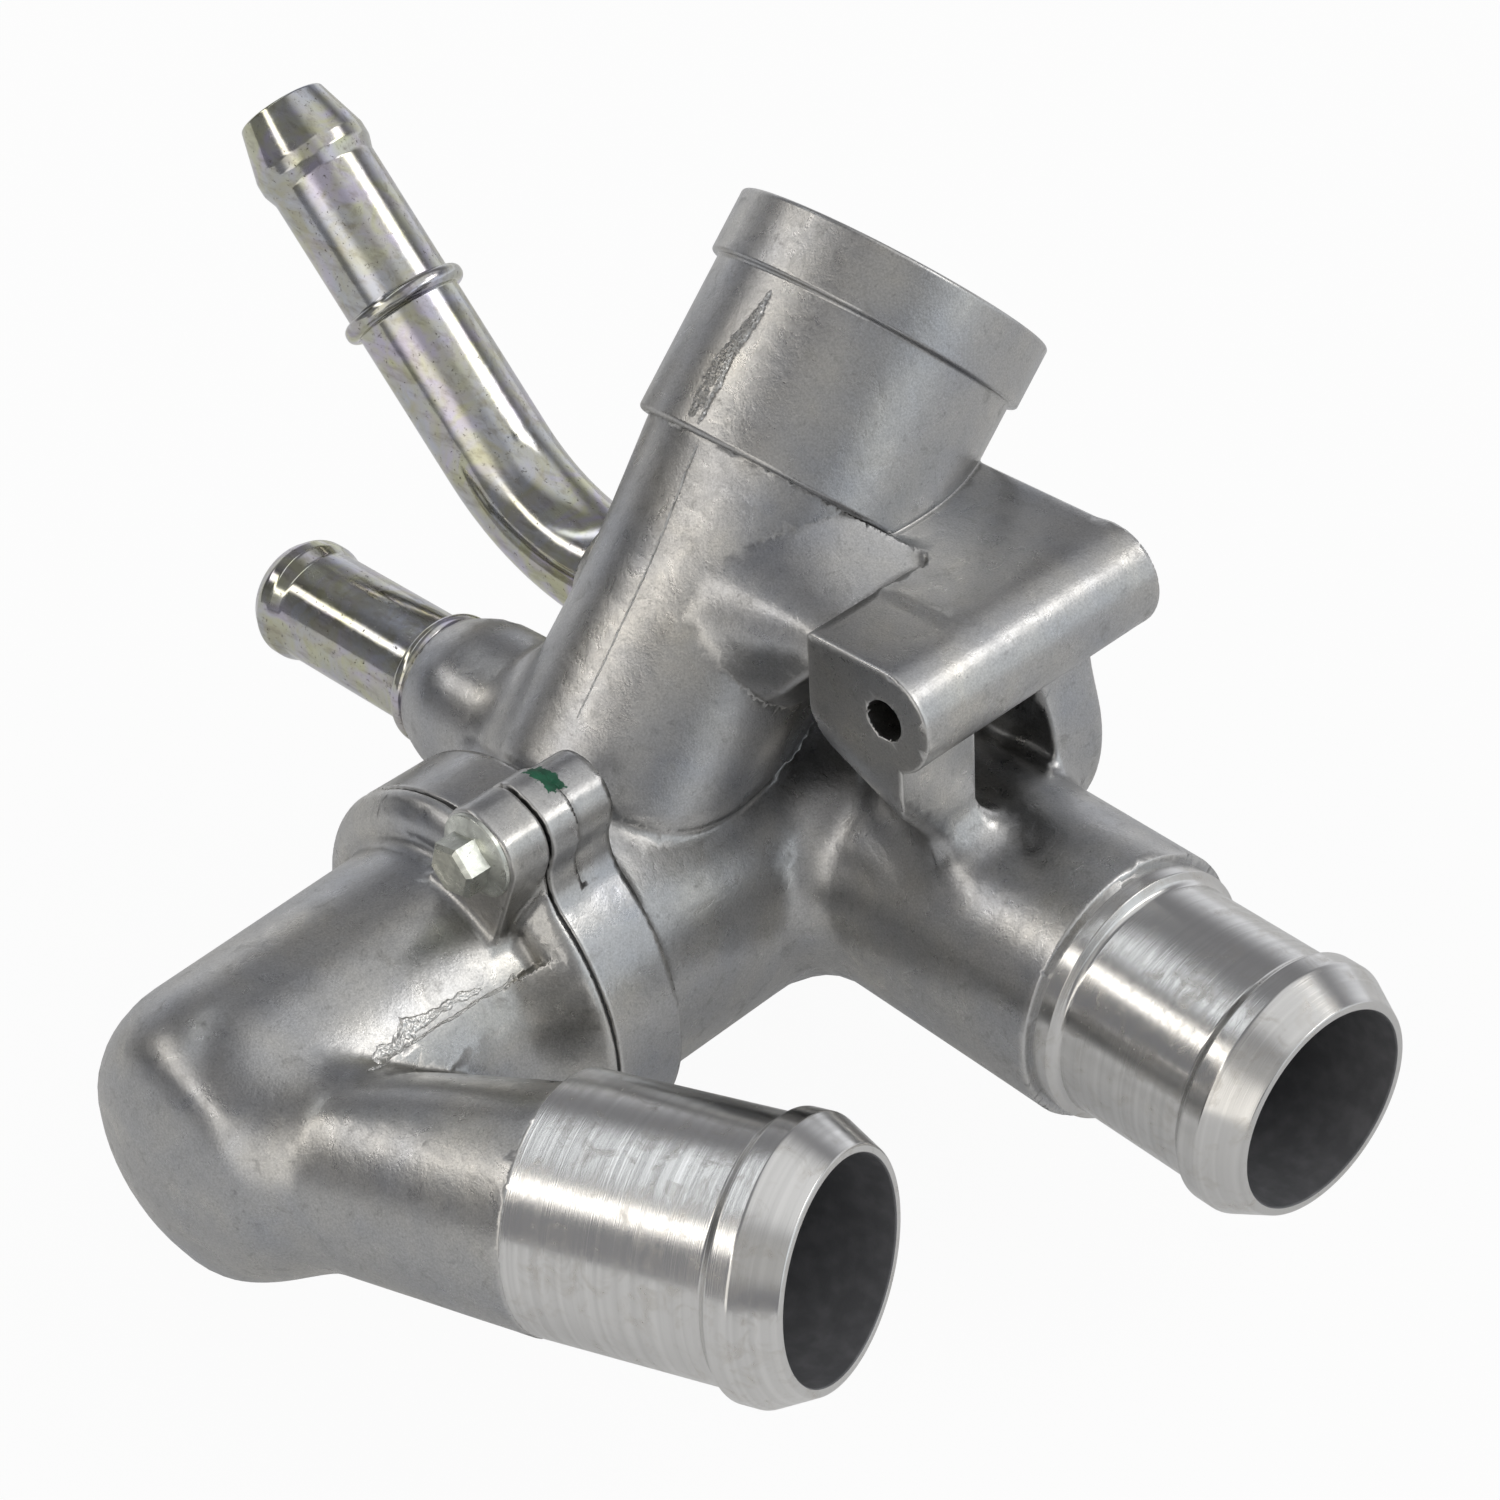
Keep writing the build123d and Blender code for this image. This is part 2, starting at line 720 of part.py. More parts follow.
# Valve flange with its seat and the bridge that holds the piston
with BuildPart() as valve_frame:
    turned(
        valve_plane,
        (seat_radius, joint_gap / 2),
        (valve_flange_radius, joint_gap / 2),
        (valve_flange_radius, joint_gap / 2 + valve_flange),
        (seat_radius, joint_gap / 2 + valve_flange),
    )
    with BuildSketch(Plane.YZ):
        with BuildLine():
            Polyline(
                (housing_face_y, bridge_foot_radius),
                (bridge_y, crown_radius),
                (bridge_y, -crown_radius),
                (housing_face_y, -bridge_foot_radius),
                (housing_face_y, -bridge_foot_radius + bridge_foot),
                (bridge_y + bridge_sheet, -crown_radius + bridge_sheet / 2),
                (bridge_y + bridge_sheet, crown_radius - bridge_sheet / 2),
                (housing_face_y, bridge_foot_radius - bridge_foot),
                close=True,
            )
        make_face()
    extrude(amount=bridge_width / 2, both=True)
    with BuildSketch(Plane.XZ.offset(-bridge_y - bridge_sheet)):
        Circle(crown_hub_radius)
    extrude(amount=crown_height)
    with BuildSketch(Plane.XZ.offset(-bridge_y - bridge_sheet)):
        Circle(piston_radius + press_gap)
    extrude(amount=piston_socket, mode=Mode.SUBTRACT)
    with BuildSketch(Plane.XZ.offset(-housing_face_y)):
        with Locations((jiggle_x, jiggle_z)):
            Circle(jiggle_radius + jiggle_hole_gap)
    extrude(amount=-valve_flange, mode=Mode.SUBTRACT)
valve_frame.part.label = "valve_frame"
export_step(valve_frame.part, "parts/valve_frame.step")

# Strap behind the valve flange that carries the main spring
with BuildPart() as spring_retainer:
    with BuildSketch(Plane.YZ):
        with BuildLine():
            Polyline(
                (valve_seat_y, leg_outer_radius),
                (retainer_y + retainer_plate, leg_outer_radius),
                (retainer_y + retainer_plate, -leg_outer_radius),
                (valve_seat_y, -leg_outer_radius),
                (valve_seat_y, -leg_outer_radius + bridge_sheet),
                (retainer_y, -leg_outer_radius + bridge_sheet),
                (retainer_y, leg_outer_radius - bridge_sheet),
                (valve_seat_y, leg_outer_radius - bridge_sheet),
                close=True,
            )
        make_face()
    extrude(amount=bridge_width / 2, both=True)
    with BuildSketch(Plane.XZ.offset(-retainer_y)):
        Circle(retainer_radius)
    extrude(amount=-retainer_plate)
    with BuildSketch(Plane.XZ.offset(-retainer_y)):
        Circle(cup_tail_radius + retainer_hole_gap)
    extrude(amount=-retainer_plate, mode=Mode.SUBTRACT)
spring_retainer.part.label = "spring_retainer"
export_step(spring_retainer.part, "parts/spring_retainer.step")

# Poppet plate, pressed on the wax cup, and the rubber ring that meets the seat
with BuildPart() as poppet:
    with BuildSketch(Plane.XZ.offset(-poppet_y)):
        Circle(poppet_radius)
        Circle(cup_radius + press_gap, mode=Mode.SUBTRACT)
    extrude(amount=-poppet_plate)
poppet.part.label = "poppet"
export_step(poppet.part, "parts/poppet.step")

with BuildPart() as poppet_seal:
    with BuildSketch(Plane.XZ.offset(-poppet_y)):
        Circle(poppet_radius)
        Circle(poppet_radius - poppet_rubber_width, mode=Mode.SUBTRACT)
    extrude(amount=poppet_rubber)
poppet_seal.part.label = "poppet_seal"
export_step(poppet_seal.part, "parts/poppet_seal.step")

# Wax element: cup with the stem for the bypass disc, guide cap, sleeve and wax
with BuildPart() as wax_cup:
    turned(
        cup_plane,
        (0, 0),
        (cup_radius, 0, 0.3),
        (cup_radius, cup_length, 1.0),
        (cup_tail_radius, cup_length + cup_radius - cup_tail_radius, 1.0),
        (cup_tail_radius, cup_length + cup_tail, 0.4),
        (stem_radius, cup_length + cup_tail),
        (stem_radius, cup_length + cup_tail + stem_length, 0.3),
        (0, cup_length + cup_tail + stem_length),
    )
    turned(
        cup_plane,
        (0, 0),
        (cup_inside_radius, 0),
        (cup_inside_radius, cup_length - cup_wall),
        (0, cup_length - cup_wall),
        mode=Mode.SUBTRACT,
    )
wax_cup.part.label = "wax_cup"
export_step(wax_cup.part, "parts/wax_cup.step")

with BuildPart() as guide_cap:
    turned(
        cup_plane,
        (piston_radius + running_fit, -guide_nose),
        (guide_nose_radius, -guide_nose, 0.8),
        (guide_nose_radius, inside_gap),
        (cup_inside_radius - inside_gap, inside_gap),
        (cup_inside_radius - inside_gap, guide_length),
        (piston_radius + running_fit, guide_length),
    )
guide_cap.part.label = "guide_cap"
export_step(guide_cap.part, "parts/guide_cap.step")

with BuildPart() as capsule_sleeve:
    turned(
        cup_plane,
        (sleeve_bore, guide_length),
        (cup_inside_radius - inside_gap, guide_length),
        (cup_inside_radius - inside_gap, guide_length + sleeve_flange),
        (sleeve_bore + sleeve_wall, guide_length + sleeve_flange),
        (sleeve_bore + sleeve_wall, guide_length + sleeve_length),
        (0, guide_length + sleeve_length),
        (0, guide_length + sleeve_length - sleeve_wall),
        (sleeve_bore, guide_length + sleeve_length - sleeve_wall),
    )
capsule_sleeve.part.label = "capsule_sleeve"
export_step(capsule_sleeve.part, "parts/capsule_sleeve.step")

with BuildPart() as wax_pellet:
    turned(
        cup_plane,
        (sleeve_bore + sleeve_wall + inside_gap, guide_length + sleeve_flange + inside_gap),
        (cup_inside_radius - inside_gap, guide_length + sleeve_flange + inside_gap),
        (cup_inside_radius - inside_gap, cup_length - cup_wall - inside_gap),
        (0, cup_length - cup_wall - inside_gap),
        (0, guide_length + sleeve_length + inside_gap),
        (sleeve_bore + sleeve_wall + inside_gap, guide_length + sleeve_length + inside_gap),
    )
wax_pellet.part.label = "wax_pellet"
export_step(wax_pellet.part, "parts/wax_pellet.step")

# Piston pin, held by the bridge and entering the wax element
with BuildPart() as piston_pin:
    turned(
        axis_plane((0, piston_y, 0), (0, 1, 0)),
        (0, 0),
        (piston_radius, 0),
        (piston_radius, piston_length, 0.8),
        (0, piston_length),
    )
piston_pin.part.label = "piston_pin"
export_step(piston_pin.part, "parts/piston_pin.step")

# Main spring between the poppet and its retainer
with BuildPart() as main_spring:
    coil_height = retainer_y - poppet_back_y - 2 * spring_end_gap - spring_wire
    coil_start = poppet_back_y + spring_end_gap + spring_wire / 2
    with BuildLine() as coil:
        Helix(
            pitch=coil_height / spring_turns,
            height=coil_height,
            radius=spring_mean_radius,
            center=(0, coil_start, 0),
            direction=(0, 1, 0),
        )
    with BuildSketch(Plane(coil.line @ 0, z_dir=coil.line % 0)) as wire_section:
        Circle(spring_wire / 2)
    sweep(wire_section.sketch, path=coil.line, is_frenet=True)
main_spring.part.label = "main_spring"
export_step(main_spring.part, "parts/main_spring.step")

# Bypass disc that slides on the stem, its clip and its spring
with BuildPart() as bypass_disc:
    with BuildSketch(Plane.XZ.offset(-bypass_disc_y)):
        Circle(bypass_disc_radius)
        Circle(stem_radius + running_fit, mode=Mode.SUBTRACT)
    extrude(amount=-bypass_disc_thickness)
bypass_disc.part.label = "bypass_disc"
export_step(bypass_disc.part, "parts/bypass_disc.step")

with BuildPart() as stem_clip:
    with BuildSketch(Plane.XZ.offset(-clip_y)):
        Circle(bypass_clip_radius)
        Circle(stem_radius + press_gap, mode=Mode.SUBTRACT)
    extrude(amount=-bypass_clip)
stem_clip.part.label = "stem_clip"
export_step(stem_clip.part, "parts/stem_clip.step")

with BuildPart() as bypass_spring:
    light_height = bypass_disc_y - tail_y - 2 * spring_end_gap - bypass_spring_wire
    light_start = tail_y + spring_end_gap + bypass_spring_wire / 2
    with BuildLine() as light_coil:
        Helix(
            pitch=light_height / bypass_spring_turns,
            height=light_height,
            radius=bypass_spring_radius,
            center=(0, light_start, 0),
            direction=(0, 1, 0),
        )
    with BuildSketch(Plane(light_coil.line @ 0, z_dir=light_coil.line % 0)) as light_section:
        Circle(bypass_spring_wire / 2)
    sweep(light_section.sketch, path=light_coil.line, is_frenet=True)
bypass_spring.part.label = "bypass_spring"
export_step(bypass_spring.part, "parts/bypass_spring.step")

# Jiggle pin, loose in the valve flange, which lets air past the closed valve
with BuildPart() as jiggle_pin:
    turned(
        axis_plane((jiggle_x, housing_face_y - jiggle_play - jiggle_end_gap, jiggle_z), (0, 1, 0)),
        (0, -jiggle_head),
        (jiggle_head_radius, -jiggle_head, 0.2),
        (jiggle_head_radius, 0, 0.2),
        (jiggle_radius, 0),
        (jiggle_radius, jiggle_shank),
        (jiggle_head_radius, jiggle_shank, 0.4),
        (jiggle_head_radius, jiggle_shank + jiggle_ball, 1.0),
        (0, jiggle_shank + jiggle_ball),
    )
jiggle_pin.part.label = "jiggle_pin"
export_step(jiggle_pin.part, "parts/jiggle_pin.step")

# Rubber ring in the groove of the engine face
with BuildPart() as face_seal:
    turned(
        Plane.XY,
        (seal_groove_radius - seal_width / 2, -seal_groove_depth, 0.9),
        (seal_groove_radius + seal_width / 2, -seal_groove_depth, 0.9),
        (seal_groove_radius + seal_width / 2, seal_proud, 1.2),
        (seal_groove_radius - seal_width / 2, seal_proud, 1.2),
    )
face_seal.part.label = "face_seal"
export_step(face_seal.part, "parts/face_seal.step")
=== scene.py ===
import json
import math

import bpy
import numpy as np
import openvdb
from mathutils import Matrix, Vector


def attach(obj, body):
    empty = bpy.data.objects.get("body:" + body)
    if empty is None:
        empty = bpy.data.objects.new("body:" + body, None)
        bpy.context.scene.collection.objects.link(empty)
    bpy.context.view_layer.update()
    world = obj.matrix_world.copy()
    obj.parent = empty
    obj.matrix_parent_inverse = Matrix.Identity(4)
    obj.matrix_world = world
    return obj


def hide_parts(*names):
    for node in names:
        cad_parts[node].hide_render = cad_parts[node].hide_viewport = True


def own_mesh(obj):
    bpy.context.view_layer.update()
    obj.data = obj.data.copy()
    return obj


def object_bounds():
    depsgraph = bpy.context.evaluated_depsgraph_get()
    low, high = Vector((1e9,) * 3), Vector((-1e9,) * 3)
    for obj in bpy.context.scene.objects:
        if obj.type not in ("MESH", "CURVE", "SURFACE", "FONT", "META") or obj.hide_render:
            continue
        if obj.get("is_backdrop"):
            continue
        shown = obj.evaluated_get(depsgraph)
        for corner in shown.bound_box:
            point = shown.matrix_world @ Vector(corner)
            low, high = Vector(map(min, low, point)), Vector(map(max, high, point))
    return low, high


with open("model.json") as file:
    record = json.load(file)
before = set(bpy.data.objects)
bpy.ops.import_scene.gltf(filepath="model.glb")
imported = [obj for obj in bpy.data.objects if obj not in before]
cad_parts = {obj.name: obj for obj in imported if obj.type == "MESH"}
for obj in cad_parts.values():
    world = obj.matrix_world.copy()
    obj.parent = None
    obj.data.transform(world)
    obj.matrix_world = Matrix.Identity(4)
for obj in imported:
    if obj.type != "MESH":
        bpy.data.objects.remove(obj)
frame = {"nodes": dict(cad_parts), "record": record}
cad_low, cad_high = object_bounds()

# Sizes and places are in millimetres in the part's frame, and stations are (place, value) pairs
MM = 0.001

# Camera
EYE = (346.61, -352.73, 359.40)
FORWARD = (-0.5901, 0.5447, -0.5959)
UP = (-0.3951, 0.4488, 0.8015)
LENS = 88.8
SENSOR = 36.0
NEAREST = 10.0

# Valve axis, which is Y, from the joint of housing and cover, and the gap that each leaves there
JOINT = -92.0
GAP = 0.25
VALVE_ORIGIN = (0, JOINT, 0)
VALVE_AXIS = (0, 1, 0)

# Edges left by machining and by casting, and where pipes start, inside, and bores, outside
MACHINED_EDGE = 0.4
CAST_EDGE = 0.8
PIPE_START = -5.0
BORE_START = -1.0

# Housing's round body, and what it holds: chamber, recess of the valve's flange, port, gallery and inlet
BODY = ((12, 28.4), (87, 27.4))
BODY_END = 88.0
CHAMBER_RADIUS = 24.0
CHAMBER_END = 46.0
CHAMBER_EDGE = 3.0
RECESS_RADIUS = 27.4
RECESS_END = 1.75
PORT_RADIUS = 11.0
PORT = (40.0, 60.0)
GALLERY_RADIUS = 15.0
GALLERY_WALL = 20.0
GALLERY = (50.0, 94.0)
INLET_RADIUS = 16.0
INLET = (84.0, 94.0)
INLET_EDGE = 0.3
FACE = 91.5

# Side spigot, cover spigot, and the turned end that both have
SIDE_LEAN = math.radians(3.1)
SIDE_ORIGIN = (0, -24.45, 0)
SIDE_AXIS = (math.cos(SIDE_LEAN), -math.sin(SIDE_LEAN), 0)
SIDE_RADIUS = 22.0
SIDE_TURNED = 75.0
SIDE_MOUTH = 113.45
SIDE_FILLET = 7.0
COVER_LEAN = math.radians(17.1)
COVER_RISE = math.radians(6.1)
COVER_ORIGIN = (0, -135.75, 0)
COVER_AXIS = (
    math.cos(COVER_RISE) * math.cos(COVER_LEAN),
    math.cos(COVER_RISE) * math.sin(COVER_LEAN),
    math.sin(COVER_RISE),
)
COVER_TURNED = 55.5
COVER_MOUTH = 97.24
SPIGOT_RADIUS = 19.0
SPIGOT_BORE = 15.9
SPIGOT_BORE_END = 90.0
TIP_RADIUS = 17.2
BEAD_RADIUS = 20.4
BEAD_FROM_MOUTH = 11.0
BEAD_RAMP = 1.5
NOSE_LENGTH = 6.2
LAND_RADIUS = 20.6
LAND_LENGTH = 4.0
LAND_CHAMFER = 0.8
END_OVERLAP = 0.6

# Joint flange and its two bolt ears, on the housing and on the cover
FLANGE_RADIUS = 32.0
EAR_ANGLE = math.radians(68.1)
EAR_REACH = 38.1
EAR_RADIUS = 7.2
EAR_FLAT = 44.8
EAR_FLAT_EDGE = 1.0
EAR_ROOT = 5.0
EAR_EDGE = 0.7
HOUSING_FLANGE = (GAP, 5.6)
HOUSING_EAR = (1.5, 12.85)
EAR_INSET = 0.6
FLANGE_FILLET = 1.5
SCREW_RADIUS = 3.0
SCREW_DEPTH = 11.65
HOLE_RADIUS = 3.3
COVER_FLANGE = (0, 4.0)
COVER_EAR = (0, 7.4)
EAR_START = 18.0
EAR_FILLET = 2.0
BEVEL_START = 1.3
BEVEL_DEPTH = 2.7
BEVEL_WIDTH = 3.5

# Engine flange: x, z and radius of each circle of its outline, in order round it, its holes and seal groove
ENGINE_LOBES = ((0, 0, 30), (19.6, 16.5, 26), (-28.5, 41, 8.5), (-38, -22, 8.5))
ENGINE_FLANGE = (-11, 0)
ENGINE_FILLET = 4.0
MOUNT_HOLES = ((-38.0, -22.0), (-28.5, 41.0))
HOLE_EDGE = 0.15
GROOVE_RADIUS = 21.0
GROOVE_HALF = 1.7
GROOVE_DEPTH = 2.3
GROOVE_EDGE = 0.2

# Upper block: boss, block in x and z, top plate in x and y, rib, dimple and sloped underside
BOLT_BOSS = (47.7, 48.0)
BOSS_RADIUS = 8.6
BOSS_FRONT = -50.6
BLOCK_BACK = -34.9
BLOCK_LEFT = 32.5
BLOCK_EDGE = 0.45
PLATE = (46.0, 56.6)
PLATE_EDGE = 1.2
PLATE_FILLET = 0.6
BLOCK_OUTLINE = ((BLOCK_LEFT, 12), (50.9, 12), (50.9, 48), (BOLT_BOSS[0], PLATE[1]), (BLOCK_LEFT, PLATE[1]))
PLATE_OUTLINE = ((14, 0), (47.7, 0), (47.7, -36), (BLOCK_LEFT, -36), (BLOCK_LEFT, -27), (14, -23))
DIMPLE = (31.5, -26.8, 57.6)
DIMPLE_RADIUS = 2.4
DIMPLE_EDGE = 0.3
RIB_END = (19.6, 16.5)
RIB_RADIUS = 6.0
RIB_FILLET = 2.0
UNDERSIDE = (BLOCK_LEFT, BOSS_FRONT, 39.5)
UNDERSIDE_WAY = (0.2824, 0.7451, 0.6042)
UNDERSIDE_EDGE = 3.0
UPPER_FILLET = ((24, 8.0), (38, 0.8))

# Neck: its pipe, which leaves the body at a rounded end, its band and rim, its bore and its socket
NECK_ORIGIN = (0, -77.0, 0)
NECK_SLANT = math.sqrt(0.5)
NECK_AXIS = (0, NECK_SLANT, NECK_SLANT)
NECK_PIPE = ((15, 21.1), (50, 21.1), (56, 21.35), (62, 21.8), (70, 22.5), (76.6, 23.1))
NECK_PIPE_END = 90.0
NECK_FOOT = 27.3
NECK_FOOT_EDGE = 4.0
NECK_FILLET = 1.0
NECK_BAND = 77.0
BAND_RADIUS = 25.0
BAND_FILLET = 0.5
CORE_INSET = 0.2
NECK_RIM = 103.4
RIM_RADIUS = 26.3
NECK_LENGTH = 114.0
NECK_BORE = 18.0
NECK_BORE_END = 116.0
SOCKET_START = 90.0
SOCKET_END = 118.0
SOCKET_RADIUS = 22.0
SOCKET_EDGE = 0.9
SOCKET_LINER = 21.9
NECK_END_BORE = 20.0
NECK_GUIDE = 22.0

# Gusset: its crest rises from the pipe, turns over softly and falls back, and reaches out by stations
GUSSET = (40.0, 77.0)
GUSSET_RISES = 38.5
GUSSET_FALLS = 80.05
GUSSET_SOFTNESS = 150.0
GUSSET_CREST = 1.2
GUSSET_ROOT = 20.9
GUSSET_REACH = ((42, 12), (49, 23), (54, 29), (59, 31.3))

# Steel tubes: ends of their bosses, the boss and seat, and the section that both tubes have
SHORT_BOSS = (-40.2, -59.2, 17.6)
LONG_BOSS = (-40.5, -22.0, 19.5)
TUBE_BOSS = ((0, 11.2), (3, 12.5), (5.5, 13.35), (8, 13.7), (30, 14.2))
BOSS_DEPTH = 30.0
BOSS_EDGE = 0.5
BOSS_FILLET = 4.0
TUBE_SEAT_RADIUS = 9.53
TUBE_SEAT_DEPTH = 18.0
TUBE_RADIUS = 9.5
TUBE_BORE = 8.0
TUBE_INSERTED = 17.0
RING_RADIUS = 11.3
RING_LENGTH = 3.0
RING_EDGE = 1.35
BULGE_RADIUS = 10.3
BULGE_LENGTH = 4.6
NOSE_WALL = 1.2

# Short tube: its length, and length and radius of its nose
SHORT_LENGTH = 39.6
SHORT_NOSE = (2.4, 8.8)

# Long tube: its bend, where that starts along its axis, and its ring and mouth from the bend's corner
LONG_CORNER = (-57.5, -22.0, 19.5)
LONG_RISE = math.radians(45)
BEND_RADIUS = 40.0
BEND_BACK = BEND_RADIUS * math.tan(LONG_RISE / 2)
BEND_AT = LONG_BOSS[0] - LONG_CORNER[0] - BEND_BACK
CORNER_AT = BEND_AT + BEND_RADIUS * LONG_RISE - BEND_BACK
LONG_RING = 44.8
LONG_LENGTH = 85.1
LONG_NOSE = (9.0, 7.8)
LONG_STEP = 1.0
LONG_REFINED_TO = 34.0

# Cover: cap, spigot with its flatter upper back, and the web below its leaning parting plane
CAP_SIDE = ((0, 25.3), (54.5, 23.2))
CAP_INSIDE = ((0, 21.6), (54.5, 19.5))
CAP_END = 61.9
DOME_RADIUS = 37.6
CAP_EDGE = 6.0
CAP_WALL = 3.7
HOLLOW_EDGE = 3.0
CAP_RECESS = (24.6, 4.0)
COVER_SPIGOT = ((0, 16.8), (55.5, 19.2))
SPIGOT_START = 8.0
SPIGOT_FILLET = ((-132, 6.0), (-120, 1.5))
COVER_BORE = ((0, 10.5), (30, 11.8), (42, 13.6), (50, SPIGOT_BORE))
SPIGOT_TOP = (25.9, -117.6, 13.0)
SPIGOT_TOP_WAY = (-0.4353, 0.5047, 0.7456)
SPIGOT_TOP_EDGE = 7.0
PARTING = math.radians(38.3)
WEB = (-128.0, -93.0)
WEB_DEPTH = ((-124, 11), (-116, 6.5), (-110, 4.8), (-96, 4.2))
WEB_OUT = (12.0, 24.2)
WEB_EDGE = 0.5
WEB_BELOW = 0.3
WEB_FILLET = 0.6
PARTING_FILLET = ((-0.5, 8.0), (0.3, 2.0))

# Skins: grid, how freely flat areas are simplified, steps for slope and for edge wear and corner shade,
# boxes, what is done at once
VOXEL = 0.4
ADAPTIVITY = 0.1
SLOPE_STEP = 0.04
WEAR_AND_SHADE_STEP = 0.7
HOUSING_BOX = ((-50, -94, -48), (80, 26, 102))
COVER_BOX = ((-36, -158, -48), (60, -90, 48))
TILE = 4
PLACES_AT_ONCE = 60000
TILES_AT_ONCE = 1000

# Casting flash: steps along and across, tuck and fade of its edges, moves to the surface, random relief
FLASH_SEED = 7
FLASH_STEP = 0.15
FLASH_ACROSS = 25
FLASH_TUCK = 0.12
FLASH_FADE = 6
FLASH_MOVE = (8, 1.5)
GRAIN_SHARE = 0.7
LUMP_SHARE = 0.25
LUMP_STEP = 5
LUMPS_ACROSS = 8

# Strips of flash: name, surface, guide, stations of width and height along it, and shade, which above 0
# brightens a strip like a worn edge and below 0 darkens it with painted shade.
# A guide on the neck is (place along its axis, drift aside) pairs, and one on the cover is points.
STRIPS = (
    ("neck_line", "pipe", ((31, 2.6), (45, 1.9), (60, 1.2), (76, 0.1)),
     ((0, 0.2), (1, 0.22)), ((0, 0.1), (0.4, 0.12), (1, 0.22)), 1.5),
    ("neck_patch", "band", ((78.5, -1.7), (88, -1.3), (99, 0.2)),
     ((0, 0.5), (0.2, 1.6), (0.6, 1.3), (1, 0.3)), ((0, 0.25), (0.5, 0.35), (1, 0.2)), -0.5),
    ("neck_edge", "band", ((78, 0.0), (84, 0.2), (90, -0.1), (96, 0.7), (101, 0.6)),
     ((0, 0.25), (0.6, 0.5), (1, 0.3)), ((0, 0.35), (0.6, 0.6), (1, 0.35)), 1.0),
    ("cover_line", "cover",
     ((20.0, -97.0, 14.9), (19.5, -106, 15.4), (19.4, -118, 15.5),
      (20.0, -126, 15.8), (20.6, -134, 15), (20.4, -140, 14)),
     ((0, 0.25), (1, 0.3)), ((0, 0.2), (1, 0.16)), 1.0),
    ("cover_patch", "cover",
     ((18.8, -105.0, 16.4), (18.3, -111.0, 16.9), (18.2, -118, 17.0), (19.0, -126.0, 16.4)),
     ((0, 0.3), (0.25, 0.9), (0.8, 1.7), (1, 0.6)), ((0, 0.12), (0.3, 0.16), (0.8, 0.2), (1, 0.12)), 1.5),
)

# Dab of green paint on the upper ear: its middle, half its size and its ragged edge
DAB = (14.6, -86.5, 42.3)
DAB_HALF = (2.9, 1.6, 2.6)
DAB_RAGGED = 0.5
DAB_EDGE = 0.08

# Studio: room, table, backdrop and where it lies, and panels (direction, width, height, strength, colour)
WHITE = (1.0, 1.0, 1.0)
ROOM = (0.24, 0.24, 0.25)
TABLE = (0.6, 0.6, 0.6)
TABLE_EDGE = (0.0, -0.12)
BACKDROP = (0.9, 0.91, 0.94)
BACKDROP_WAY = (-0.35, 0.94, 0)
BACKDROP_SIDES = (-0.1, 0.7)
BACKDROP_TOP = (0.55, 0.05)
PANEL_SOFTNESS = 0.5
PANELS = (
    ((0.30, 0.30, 0.90), 70, 44, 0.85, WHITE),
    ((0.59, -0.545, 0.60), 36, 36, 0.5, (1.0, 0.99, 0.97)),
    ((0.22, -0.95, 0.22), 30, 44, 1.3, (1.0, 0.97, 0.92)),
    ((0.90, 0.36, 0.24), 64, 54, 1.0, (0.93, 0.97, 1.0)),
    ((-0.80, -0.43, 0.43), 30, 40, 0.12, WHITE),
    ((-0.42, -0.68, 0.60), 62, 9, 3.0, (1.0, 0.96, 0.90)),
    ((-0.52, -0.17, 0.83), 50, 5, 2.0, (0.95, 0.98, 1.0)),
    ((0.57, 0.47, 0.68), 34, 11, 4.4, (1.0, 0.98, 0.95)),
    ((-0.96, 0.20, -0.20), 30, 20, 1.2, WHITE),
)

# Floor: reach in metres, and how white it shows to the camera, in reflections and through glass
FLOOR_REACH = 3
FLOOR_WHITE = (("Is Camera Ray", 0.95), ("Is Glossy Ray", 0.2), ("Is Transmission Ray", 0.95))


def unite(a, b, radius=0.0):
    """Union of two distance fields, with a round fillet of that radius between them."""
    if np.isscalar(radius) and not radius:
        return np.minimum(a, b)
    corner = np.hypot(np.maximum(radius - a, 0), np.maximum(radius - b, 0))
    return np.maximum(radius, np.minimum(a, b)) - corner


def common(a, b, radius=0.0):
    """Intersection of two distance fields, with its edge rounded to that radius."""
    if not radius:
        return np.maximum(a, b)
    corner = np.hypot(np.maximum(radius + a, 0), np.maximum(radius + b, 0))
    return np.minimum(-radius, np.maximum(a, b)) + corner


def cut(a, b, radius=0.0):
    """What is left of a without b, with its edge rounded to that radius."""
    return common(a, -b, radius)


def polar(p, origin, along):
    """Distance from an axis, and place along it, of each point."""
    q = p - np.asarray(origin, p.dtype)
    axis = np.asarray(along, p.dtype)
    t = q @ axis
    return np.linalg.norm(q - t[:, None] * axis, axis=1), t


def between(t, start, end):
    """Field of the slab between two places on an axis."""
    return np.abs(t - (start + end) / 2) - (end - start) / 2


def follow(t, stations):
    """Value at each place, from (place, value) stations."""
    places, values = zip(*stations)
    return np.interp(t, places, values).astype(t.dtype)


def plane(p, at, way):
    """Height of each point above a plane, given by a point on it and its direction."""
    return (p - np.array(at, p.dtype)) @ np.array(way, p.dtype)


def bar(p, origin, along, radius, start, end, edge=0.0):
    """Round bar of one radius, between two places on an axis."""
    return barrel(p, origin, along, ((0, radius),), start, end, edge)


def inner(p, radius, start, end, edge=0.0):
    """Round bar on the valve axis, between two depths from the joint."""
    return bar(p, VALVE_ORIGIN, VALVE_AXIS, radius, start, end, edge)


def barrel(p, origin, along, stations, start, end, edge=0.0):
    """Round bar whose radius follows (place, radius) stations."""
    r, t = polar(p, origin, along)
    return common(r - follow(t, stations), between(t, start, end), edge)


